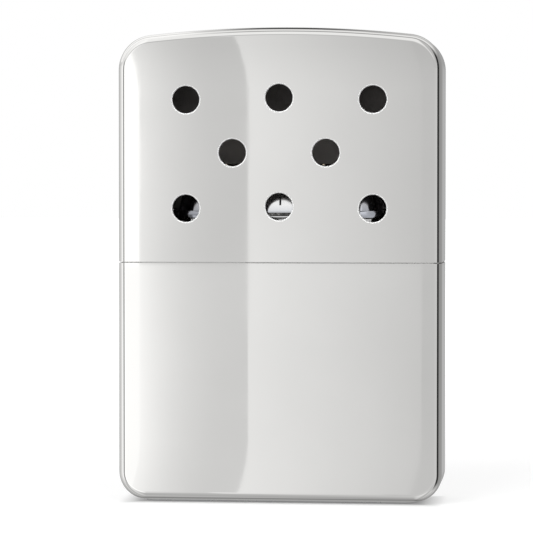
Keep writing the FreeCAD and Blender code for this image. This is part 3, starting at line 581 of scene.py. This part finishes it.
def draw_in_ends(mesh, low, high, start, beyond, widest, at_low, at_high):
    """Draws the round ends in from the front and the back, between two heights, to follow the cage's leaning
    wall. What was at widest comes to at_low or at_high. Only what lies past start, and further than beyond
    from the ends' axes, moves. The tabs keep their width."""
    for vertex in mesh.vertices:
        x, y, z = vertex.co
        past = abs(x) - END_AXIS
        if past > start and low < z < high and math.hypot(past, y) > beyond and abs(y) > TAB_REACH:
            reach = at_low + (at_high - at_low) * (z - low) / (high - low)
            drawn = TAB_REACH + (abs(y) - TAB_REACH) * (reach - TAB_REACH) / (widest - TAB_REACH)
            vertex.co.y = math.copysign(drawn, y)


def pressed_metal(name, mesh, edge, material):
    """A sheet metal piece with its sheared edges rounded over by a small amount."""
    obj = link(name, mesh)
    mesh.materials.append(material)
    smooth(mesh)
    rounding = obj.modifiers.new("rounding", "BEVEL")
    rounding.width = edge
    rounding.segments = 2
    rounding.limit_method = "ANGLE"
    rounding.angle_limit = math.radians(40)
    evening = obj.modifiers.new("evening", "WEIGHTED_NORMAL")
    evening.weight = 80
    return baked(obj)


def matted(name, source, grain, depth, lump, material):
    """A soft solid, evenly divided and pressed in by large and small lumps, nowhere out past the solid."""
    large, small, finer = 0.65, 0.35, 3.1
    obj = link(name, merged_copy(source))
    remesh = obj.modifiers.new("remesh", "REMESH")
    remesh.mode = "VOXEL"
    remesh.voxel_size = grain
    mesh = baked(obj).data
    ways = [vertex.normal.copy() for vertex in mesh.vertices]
    for vertex, way in zip(mesh.vertices, ways):
        place = vertex.co / lump
        swell = large * noise.noise(place) + small * noise.noise(place * finer)
        vertex.co -= way * depth * min(1, max(0, 0.5 + swell))
    smooth(mesh)
    mesh.materials.clear()
    mesh.materials.append(material)
    return obj


# ----------------- materials

def new_material(name):
    """A material with a Principled shader, and its node tree."""
    material = bpy.data.materials.new(name)
    material.use_nodes = True
    tree = material.node_tree
    return material, tree, tree.nodes["Principled BSDF"]


def colour_mix(tree, share, first, second, way="MIX"):
    """Two colours mixed by a share. Inputs 6 and 7 and output 2 are the Mix node's colours."""
    return node(tree, "ShaderNodeMix", {"Factor": share, 6: first, 7: second}, data_type="RGBA",
                blend_type=way).outputs[2]


def shader_group(name, inputs, output, kind):
    """A shader node group with named inputs and one output. Returns it with what it is given, its output and
    the place on the piece to read a pattern from."""
    tree = bpy.data.node_groups.new(name, "ShaderNodeTree")
    for socket_name, socket_kind in inputs:
        tree.interface.new_socket(socket_name, in_out="INPUT", socket_type=socket_kind)
    tree.interface.new_socket(output, in_out="OUTPUT", socket_type=kind)
    place = node(tree, "ShaderNodeTexCoord").outputs["Object"]
    return tree, tree.nodes.new("NodeGroupInput").outputs, tree.nodes.new("NodeGroupOutput").inputs[0], place


def drawn_lines_group():
    """Fine lines left by drawing and polishing, along the way that Stretch squeezes least."""
    tree, given, out, place = shader_group("drawn_lines", [("Stretch", "NodeSocketVector")], "Lines", NUMBER)
    stretched = node(tree, "ShaderNodeMapping", {"Vector": place, "Scale": given["Stretch"]})
    lines = node(tree, "ShaderNodeTexNoise", {"Vector": stretched.outputs[0], "Scale": 1.0, "Detail": 3.0})
    tree.links.new(lines.outputs["Fac"], out)
    return tree


def handling_group():
    """Soft smudges and thin wear from handling, as a value between Low and High."""
    tree, given, out, place = shader_group("handling", [("Scale", NUMBER), ("Low", NUMBER), ("High", NUMBER)],
                                           "Value", NUMBER)
    smudge = node(tree, "ShaderNodeTexNoise", {
        "Vector": place, "Scale": given["Scale"], "Detail": 6.0, "Roughness": 0.62})
    tree.links.new(ranged(tree, smudge.outputs["Fac"], 0.35, 0.7, given["Low"], given["High"]), out)
    return tree


def mottle_group():
    """Two shades of one colour, mixed by a noise of the given scale."""
    tree, given, out, place = shader_group("mottle", [("Scale", NUMBER), ("Dark", COLOUR), ("Light", COLOUR)],
                                           "Colour", COLOUR)
    grain = node(tree, "ShaderNodeTexNoise", {"Vector": place, "Scale": given["Scale"], "Detail": 4.0})
    share = ranged(tree, grain.outputs["Fac"], 0.35, 0.65)
    tree.links.new(colour_mix(tree, share, given["Dark"], given["Light"]), out)
    return tree


DRAWN_LINES = drawn_lines_group()
HANDLING = handling_group()
MOTTLE = mottle_group()


def use_group(tree, group, sockets):
    """Places a shader node group with its own values, and returns what it puts out."""
    placed = node(tree, "ShaderNodeGroup", node_tree=group)
    for name, given in sockets.items():
        placed.inputs[name].default_value = given
    return placed.outputs[0]


def shade(base, share):
    """A colour made lighter or darker by a share."""
    return (*(min(1, part * share) for part in base), 1)


def mottled(tree, shader, grain, dark, light, smudge_scale, low, high):
    """Colour between two shades, and roughness between two values, each at its own scale."""
    colour = use_group(tree, MOTTLE, {"Scale": grain, "Dark": dark, "Light": light})
    tree.links.new(colour, shader.inputs["Base Color"])
    roughness = use_group(tree, HANDLING, {"Scale": smudge_scale, "Low": low, "High": high})
    tree.links.new(roughness, shader.inputs["Roughness"])


def grooved(tree, shader, stretch, strength, depth):
    """Fine lines in the surface, of a depth in metres."""
    lines = use_group(tree, DRAWN_LINES, {"Stretch": stretch})
    bump = node(tree, "ShaderNodeBump", {"Height": lines, "Strength": strength, "Distance": depth})
    tree.links.new(bump.outputs[0], shader.inputs["Normal"])


def metal(name, base, roughness, smudge_scale, stretch, groove):
    """Plated or bare sheet: mottled a little, smudged by handling, with fine lines from its making."""
    material, tree, shader = new_material(name)
    shader.inputs["Metallic"].default_value = 1
    dark, light = shade(base, 0.985), shade(base, 1.015)
    mottled(tree, shader, smudge_scale, dark, light, smudge_scale, *roughness)
    grooved(tree, shader, stretch, 1.0, groove)
    return material


def polished_chrome():
    return metal("polished_chrome", (0.87, 0.865, 0.85), (0.012, 0.03), 60, (700, 700, 12), 0.0002 * MM)


def inside_plate():
    material = metal("inside_plate", (0.36, 0.34, 0.33), (0.4, 0.6), 90, (500, 500, 500), 0.002 * MM)
    material.node_tree.nodes["Principled BSDF"].inputs["Metallic"].default_value = 0.5
    return material


def foot_plate():
    return metal("foot_plate", (0.55, 0.55, 0.55), (0.22, 0.36), 150, (900, 900, 900), 0.001 * MM)


def satin_plate():
    return metal("satin_plate", (0.74, 0.74, 0.73), (0.2, 0.34), 120, (1500, 1500, 9000), 0.001 * MM)


def gauze_wire():
    return metal("gauze_wire", (0.55, 0.54, 0.52), (0.25, 0.45), 700, (6000, 6000, 6000), 0.002 * MM)


# The same steel as the cage, made darker: painted shade on the skirt and its rim.
def skirt_steel():
    return metal("skirt_steel", (0.76, 0.76, 0.76), (0.06, 0.12), 260, (900, 900, 2600), 0.0004 * MM)


def tinted(tree, plain, value, start, full, tint):
    """A colour multiplied by a tint, by a share that grows from none to all between two values."""
    return colour_mix(tree, ranged(tree, value, start, full), plain, tint, "MULTIPLY")


def cage_steel():
    """Thin sheet, straw-tinted where it runs hottest and darker and bluer towards its foot, with painted
    shade at its ends, heavier at the left end.
    """
    material = metal("cage_steel", (0.9, 0.9, 0.9), (0.1, 0.2), 260, (900, 900, 2600), 0.0006 * MM)
    tree = material.node_tree
    shader = tree.nodes["Principled BSDF"]
    place = parts_of(tree, node(tree, "ShaderNodeTexCoord").outputs["Object"])
    low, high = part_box("burner_cage")
    straw, darker_foot = (0.82, 0.72, 0.55, 1), (0.74, 0.76, 0.8, 1)
    painted_shade_left, painted_shade_right = (0.46, 0.46, 0.48, 1), (0.85, 0.86, 0.9, 1)
    end_start, end_full = 10 * MM, 13 * MM
    colour = shader.inputs["Base Color"].links[0].from_socket
    colour = tinted(tree, colour, place["Z"], (low.z + high.z) / 2, high.z, straw)
    # Painted shade: both ends darken, the left end most.
    colour = tinted(tree, colour, place["X"], -end_start, -end_full, painted_shade_left)
    colour = tinted(tree, colour, place["X"], end_start, end_full, painted_shade_right)
    # Darker and bluer towards the foot.
    colour = tinted(tree, colour, place["Z"], low.z + 2.0 * MM, low.z + 0.6 * MM, darker_foot)
    tree.links.new(colour, shader.inputs["Base Color"])
    return material


def vent_lip_painted_highlight():
    """The edge of a vent, near-white and only partly metallic: a painted highlight that shows as a bright
    ring from all sides.
    """
    material, tree, shader = new_material("vent_lip")
    shader.inputs["Metallic"].default_value = 0.35
    # Near-white colour: painted highlight on the vent lips.
    mottled(tree, shader, grain=3000, dark=(0.95, 0.95, 0.94, 1), light=(1, 1, 1, 1), smudge_scale=900,
            low=0.35, high=0.5)
    return material


def fibrous(name, dark, light, grain, roughness):
    """Matted fibre: two shades in fine grain, rough, with a soft sheen and a fine nap."""
    material, tree, shader = new_material(name)
    shader.inputs["Sheen Weight"].default_value = 0.2
    shader.inputs["Specular IOR Level"].default_value = 0.3
    mottled(tree, shader, grain, dark, light, smudge_scale=grain / 4, low=roughness, high=1.0)
    grooved(tree, shader, (grain, grain, grain), strength=0.6, depth=0.05 * MM)
    return material


# ----------------- studio

CENTRE = Vector((0, 0, CROWN / 2))
CARD_DISTANCE = 4.0
LAYER_STEP = 0.01  # how much nearer each layer of cards hangs, as a share of the distance
STRIP_REACH, PANEL_REACH = 45, 75  # how far the strips and the panels reach each way, in degrees

# The upright sheets of light in front of the case, by their tilt in degrees.
SEAM_LEVEL = -1.76  # parts the upper from the lower sheets
SHEET_TOP, TOP_FADE = 11, 3  # where the upper sheets end, and how far down from there they fade
SHEET_FOOT, FOOT_FADE = -30, 12  # where the lower sheets end, and how far up from there they fade
BOW_ABOVE, BOW_BELOW = 2.05, -5.7  # past these the side edges bow
BOW, MOST_BOW = 0.23, 1.2  # how fast they bow with the square of the tilt, and how far at most
DIM_ABOVE, DIM_BY = 2.3, 0.09  # past this the sheets dim over one degree, and by this share

# For each sheet, the turns where it starts and stops, its tones there, the bend between them and whether it
# is an upper one.
FRONT_SHEETS = (
    ("upper_white", -33, -10.12, 1.3, 1.3, 1, True),
    ("upper_left", -10.12, -6.95, 0.93, 0.65, 2.6, True),
    ("upper_right", -6.95, -1.9, 0.875, 0.62, 1, True),
    ("lower_white", -33, -10.1, 1.25, 1.15, 1, False),
    ("lower_left", -10.1, -6.95, 1.08, 0.7, 2.8, False),
    ("lower_right", -6.95, -1.9, 0.9, 0.66, 1, False),
    ("far_right_upper", -1.9, 47, 0.6, 0.66, 1, True),
    ("far_right_lower", -1.9, 47, 0.6, 0.66, 1, False))


def glow_material():
    """Light whose strength and cover are given by the sheet's own attributes."""
    material = bpy.data.materials.new("card_glow")
    material.use_nodes = True
    tree = material.node_tree
    tree.nodes.clear()
    tone = node(tree, "ShaderNodeAttribute", attribute_name="tone").outputs["Fac"]
    cover = node(tree, "ShaderNodeAttribute", attribute_name="cover").outputs["Fac"]
    glow = node(tree, "ShaderNodeEmission", {"Strength": tone})
    clear = node(tree, "ShaderNodeBsdfTransparent")
    mix = node(tree, "ShaderNodeMixShader", {0: cover, 1: clear.outputs[0], 2: glow.outputs[0]})
    node(tree, "ShaderNodeOutputMaterial", {"Surface": mix.outputs[0]})
    return material


GLOW = glow_material()


def upright(turn, tilt):
    """A way out from the object: turn is 0 in front and grows to the right, tilt grows upward."""
    return Vector((math.sin(turn) * math.cos(tilt), -math.cos(turn) * math.cos(tilt), math.sin(tilt)))


def overhead(turn, tilt):
    """A way out from the object: turn goes from 0 in front over the top to the back, tilt to the right."""
    return Vector((math.sin(tilt), -math.cos(turn) * math.cos(tilt), math.sin(turn) * math.cos(tilt)))


def card(name, way, turns, tilts, tone, cover, layer):
    """A curved sheet of light far round the object, seen only in reflections. tone and cover take a turn and
    a tilt in degrees. A card of a higher layer hangs in front of the lower ones."""
    distance = CARD_DISTANCE * (1 - LAYER_STEP * layer)
    angles = [(turn, tilt) for tilt in tilts for turn in turns]
    places = [CENTRE + way(math.radians(turn), math.radians(tilt)) * distance for turn, tilt in angles]
    wide = len(turns)
    faces = [(i, i + 1, i + wide + 1, i + wide)
             for row in range(len(tilts) - 1) for i in range(row * wide, (row + 1) * wide - 1)]
    mesh = bpy.data.meshes.new(name)
    mesh.from_pydata(places, [], faces)
    for title, value in (("tone", tone), ("cover", cover)):
        attribute = mesh.attributes.new(title, "FLOAT", "POINT")
        attribute.data.foreach_set("value", [value(*angle) for angle in angles])
    mesh.materials.append(GLOW)
    obj = link(name, mesh)
    obj.visible_camera = obj.visible_diffuse = obj.visible_shadow = obj.visible_transmission = False


def profile(*stops):
    """A value that runs through stops of (angle, value)."""
    places, values = zip(*stops)
    return lambda angle: float(np.interp(angle, places, values))


def spread(low, high, step):
    """Angles from low to high at about the given step."""
    return [float(angle) for angle in np.linspace(low, high, math.ceil((high - low) / step) + 1)]


def front_sheet(name, start, stop, left, right, bend, upper, back, level):
    """An upright sheet of light in front of the case, or behind it, with a tone at its left and at its right.
    Its side edges bow to the left at both ends. The lid mirrors an upper sheet, and the tank a lower one."""
    low, high = (SEAM_LEVEL, SHEET_TOP) if upper else (SHEET_FOOT, SEAM_LEVEL)
    step = 0.25 if stop - start < 6 else 2

    def bowed(turn, tilt):
        past = max(0, math.degrees(tilt) - BOW_ABOVE, BOW_BELOW - math.degrees(tilt))
        return upright(turn + math.radians(back - min(MOST_BOW, BOW * past ** 2)), tilt)

    def tone(turn, tilt):
        fall = 1 - DIM_BY * min(1, max(0, tilt - DIM_ABOVE))
        return level * fall * (right + (left - right) * (1 - (turn - start) / (stop - start)) ** bend)

    def cover(turn, tilt):
        return min(1.0, (SHEET_TOP - tilt) / TOP_FADE if upper else (tilt - SHEET_FOOT) / FOOT_FADE)

    card(name, bowed, spread(start, stop, step), spread(low, high, 0.5), tone, cover, 3)


def side_strip(name, tone, start, stop, cover, layer):
    """An upright strip of light to one side, mirrored by the rolled edges."""
    card(name, upright, spread(start, stop, 3), spread(-STRIP_REACH, STRIP_REACH, 1.5),
         lambda turn, tilt: tone(turn), lambda turn, tilt: cover(tilt), layer)


def panel(name, low, high, soft, tone, cover=profile((0, 1))):
    """A level panel across the object, from one angle over its top to another, with soft long edges. tone and
    cover run from its left end to its right end."""
    card(name, overhead, spread(low, high, soft / 3), spread(-PANEL_REACH, PANEL_REACH, 1.5),
         lambda turn, tilt: tone(tilt),
         lambda turn, tilt: cover(tilt) * min(1, (turn - low) / soft, (high - turn) / soft), 1)


def tent():
    """The walls of the light tent, in soft folds. They darken below the object, most of all behind it."""
    by_tilt = profile((-90, 0.28), (-70, 0.52), (-45, 0.62), (-10, 0.74), (5, 0.65), (90, 0.65))
    low_behind = profile((90, 1), (140, 0.55))
    folds, fold_depth = 8, 0.22

    def tone(turn, tilt):
        behind = low_behind(abs(turn)) if tilt < 0 else 1
        return by_tilt(tilt) * behind * (1 + fold_depth * math.sin(math.radians(folds * turn)))

    card("tent", upright, spread(-180, 180, 4), spread(-90, 90, 3), tone, lambda turn, tilt: 1.0, 0)


def studio():
    """The tent and what hangs in it. The chrome shows nothing else."""
    tent()
    panel("low_panel", -16, -1, 5, profile((0, 0.62)))
    panel("front_panel", 16, 58, 5, profile((-60, 0.8), (-17, 1.1), (-12.5, 0.95), (12.5, 0.95), (17, 0.55)))
    panel("panel_gap", 54, 71, 5, profile((-12.5, 1.1), (-10.5, 0.75), (-8.5, 0.38)))
    panel("overhead_panel", 69, 93, 4, profile((-13, 1.15), (-10.5, 0.92)))
    panel("back_panel", 97, 143, 8, profile((-10.5, 1.05), (-9, 0.04)),
          profile((-12, 1), (-10.5, 0), (-7.2, 1), (-3, 1), (1.8, 0)))
    for back, tag, level in ((0, "", 1.0), (180, "_behind", 0.65)):
        for name, *shape in FRONT_SHEETS:
            front_sheet(name + tag, *shape, back, level)
    short = profile((-30, 0), (-14, 1), (8, 1), (14, 0))
    tall = profile((-45, 0), (-25, 1), (25, 1), (45, 0))
    side_strip("dark_strip_left", profile((0, 0.25)), -49, -33, short, 2)
    side_strip("grey_strip_left", profile((-140, 0.55), (-105, 0.65), (-85, 0.8), (-65, 1.05)), -140, -49,
               short, 2)
    side_strip("dark_strip_right", profile((0, 0.03)), 46, 74, tall, 4)
    side_strip("grey_strip_right", profile((74, 0.3), (172, 0.4)), 74, 172, tall, 4)


def seen_directly(tree):
    """A socket that is 1 for rays from the camera, from a mirror or through glass."""
    path = node(tree, "ShaderNodeLightPath").outputs
    mirrored = sums(tree, "MAXIMUM", path["Is Camera Ray"], path["Is Glossy Ray"])
    return sums(tree, "MAXIMUM", mirrored, path["Is Transmission Ray"])


def backdrop():
    """White for the camera and for mirrors, and an even soft light for everything else."""
    world = bpy.data.worlds.new("studio_world")
    bpy.context.scene.world = world
    world.use_nodes = True
    tree = world.node_tree
    tree.nodes.clear()
    strength = ranged(tree, seen_directly(tree), 0.0, 1.0, low=0.7, high=1.0)
    back = node(tree, "ShaderNodeBackground", {"Color": (1, 1, 1, 1), "Strength": strength})
    node(tree, "ShaderNodeOutputWorld", {"Surface": back.outputs[0]})


def floor():
    """Plain pale paper that carries the object's shadow, with a painted contact shadow where its glow drops
    close round the foot. Farther out it runs into the backdrop.
    """
    reach = 3.0
    mesh = bpy.data.meshes.new("floor")
    mesh.from_pydata([(-reach, -reach, 0), (reach, -reach, 0), (reach, reach, 0), (-reach, reach, 0)], [],
                     [(0, 1, 2, 3)])
    material, tree, shader = new_material("floor_paper")
    shader.inputs["Base Color"].default_value = (0.42, 0.42, 0.42, 1)
    shader.inputs["Roughness"].default_value = 1
    shader.inputs["Specular IOR Level"].default_value = 0
    shader.inputs["Emission Color"].default_value = (1, 1, 1, 1)
    place = parts_of(tree, node(tree, "ShaderNodeTexCoord").outputs["Object"])
    past_end = sums(tree, "SUBTRACT", sums(tree, "ABSOLUTE", place["X"]), HALF_WIDTH - FOOT_END_INSET)
    past_side = sums(tree, "SUBTRACT", sums(tree, "ABSOLUTE", place["Y"]), HALF_DEPTH - FOOT_SIDE_INSET)
    from_foot = sums(tree, "MAXIMUM", past_end, past_side)
    # Painted contact shadow: the glow drops towards the foot.
    painted_shadow_glow = ranged(tree, from_foot, 0.0, 4 * MM, low=0.2, high=0.62)
    far = ranged(tree, from_foot, 0.1, 0.5, low=0.0, high=0.38)
    paleness = times(tree, sums(tree, "ADD", painted_shadow_glow, far), seen_directly(tree))
    tree.links.new(paleness, shader.inputs["Emission Strength"])
    mesh.materials.append(material)
    obj = link("floor", mesh)
    obj.visible_glossy = False


def lamp(name, place, size, power):
    """A soft lamp aimed at the object."""
    data = bpy.data.lights.new(name, "AREA")
    data.shape = "SQUARE"
    data.size = size
    data.energy = power
    obj = bpy.data.objects.new(name, data)
    bpy.context.scene.collection.objects.link(obj)
    obj.location = place
    obj.rotation_euler = (CENTRE - Vector(place)).to_track_quat("-Z", "Y").to_euler()
    obj.visible_glossy = False


def camera():
    """A long lens, a little above the middle and a little to the right of it."""
    distance, azimuth, elevation = 0.45, 6.31, 1.8
    aim = Vector((-2.65 * MM, 0, 36.91 * MM))
    focal_pixels, frame_pixels, sensor = 2844, 533, 36
    data = bpy.data.cameras.new("camera")
    data.sensor_width = sensor
    data.lens = sensor * focal_pixels / frame_pixels
    data.clip_start, data.clip_end = 0.01, 20
    obj = bpy.data.objects.new("camera", data)
    bpy.context.scene.collection.objects.link(obj)
    back = upright(math.radians(azimuth), math.radians(elevation))
    turn = (-back).to_track_quat("-Z", "Y").to_matrix().to_4x4()
    obj.matrix_world = Matrix.Translation(aim + back * distance) @ turn
    bpy.context.scene.camera = obj


# ----------------- the warmer

def add(obj, body, replaced):
    """Says which body a piece moves with, and hides the node that it stands for."""
    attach(obj, body)
    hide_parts(replaced)


def case_halves():
    """The chromed lid and tank."""
    finishes = [polished_chrome(), inside_plate(), vent_lip_painted_highlight(), foot_plate()]
    add(half_shell("lid", lid_outline(), vent_centres(), finishes), "lid", "lid_shell")
    add(half_shell("tank", tank_outline(), [], finishes), "tank", "tank_case")


def collar_and_neck():
    """The satin collar that the lid slips over, and the neck soldered into its top."""
    satin = satin_plate()
    collar = pressed_metal("collar", merged_copy("tank_collar"), 0.08 * MM, satin)
    add(collar, "tank", "tank_collar")
    add(pressed_metal("neck_tube", merged_copy("neck"), 0.06 * MM, satin), "tank", "neck")


def skirt():
    """The burner's base: slit skirt, rim and the two folded tabs that hold the cage."""
    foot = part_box("burner_cage")[0].z
    mesh = merged_copy("burner_skirt")
    draw_in_ends(mesh, foot - 0.1 * MM, foot + 0.4 * MM, start=0.02 * MM, beyond=4.6 * MM, widest=5.08 * MM,
                 at_low=4.56 * MM, at_high=4.56 * MM)
    add(pressed_metal("skirt", mesh, 0.07 * MM, skirt_steel()), "burner", "burner_skirt")


def cage():
    """The slotted cage over the mat, with its end aprons in line with its leaning walls."""
    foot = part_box("burner_cage")[0].z
    mesh = merged_copy("burner_cage")
    draw_in_ends(mesh, foot - 0.05 * MM, foot + 1.1 * MM, start=-0.02 * MM, beyond=5.21 * MM,
                 widest=5.48 * MM, at_low=4.62 * MM, at_high=4.42 * MM)
    add(pressed_metal("cage", mesh, 0.05 * MM, cage_steel()), "burner", "burner_cage")


def gauze():
    """Woven wire on the ledge of the skirt's rim."""
    low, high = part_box("mat_gauze")
    wire = (high.z - low.z) / 4
    obj = run_tree(link("gauze", bpy.data.meshes.new("gauze")), weave_tree(), {
        "Half Length": high.x - wire, "Half Depth": high.y - wire, "Pitch": 0.6 * MM, "Wire": wire,
        "Height": (low.z + high.z) / 2, "Material": gauze_wire()})
    smooth(obj.data)
    add(obj, "burner", "mat_gauze")


def mat(fibres):
    """The glass fibre pad, with its frayed edge pinched between the rim and the cage."""
    felted = fibrous("glass_fibre", (0.05, 0.05, 0.05, 1), (0.3, 0.29, 0.28, 1), 2200, 0.7)
    strands = fibrous("glass_strands", (0.18, 0.18, 0.18, 1), (0.75, 0.75, 0.74, 1), 3500, 0.45)
    obj = matted("mat", "catalyst_mat", 0.2 * MM, 0.12 * MM, 0.9 * MM, felted)
    low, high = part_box("catalyst_mat")
    edge_top = low.z + 0.5 * MM
    draw_in_ends(obj.data, low.z - 0.1 * MM, edge_top + 0.1 * MM, start=0.0, beyond=0.0, widest=5.18 * MM,
                 at_low=4.3 * MM, at_high=4.3 * MM)
    run_tree(obj, fibres, {"Density": 5e6, "Low": edge_top, "High": high.z, "Length": 0.8 * MM,
                           "Thickness": 0.012 * MM, "Lie": 1.3, "Seed": 3, "Material": strands})
    run_tree(obj, fibres, {"Density": 9e6, "Low": low.z + 0.1 * MM, "High": edge_top, "Length": 0.35 * MM,
                           "Thickness": 0.01 * MM, "Lie": 1.0, "Seed": 5, "Material": strands})
    add(obj, "burner", "catalyst_mat")


def packing(fibres):
    """The felt in the neck and the cotton that fills the tank."""
    cotton = fibrous("cotton", (0.66, 0.64, 0.6, 1), (0.9, 0.88, 0.84, 1), 1500, 0.85)
    felt = matted("felt", "neck_wick", 0.3 * MM, 0.1 * MM, 1.2 * MM, cotton)
    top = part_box("neck_wick")[1].z
    run_tree(felt, fibres, {"Density": 8e6, "Low": top - 0.3 * MM, "High": top, "Length": 0.5 * MM,
                            "Thickness": 0.012 * MM, "Lie": 1.4, "Seed": 8, "Material": cotton})
    add(felt, "tank", "neck_wick")
    wadding = matted("wadding", "cotton_packing", 0.9 * MM, 0.3 * MM, 3 * MM, cotton)
    add(wadding, "tank", "cotton_packing")


bpy.context.scene.view_settings.view_transform = "Standard"
camera()
backdrop()
floor()
studio()
lamp("key", place=(-0.5, -0.9, 0.9), size=0.8, power=8)
lamp("fill", place=(0.8, -0.6, 0.7), size=0.8, power=4)

case_halves()
collar_and_neck()
skirt()
cage()
gauze()
fibre_kit = fibre_tree()
mat(fibre_kit)
packing(fibre_kit)
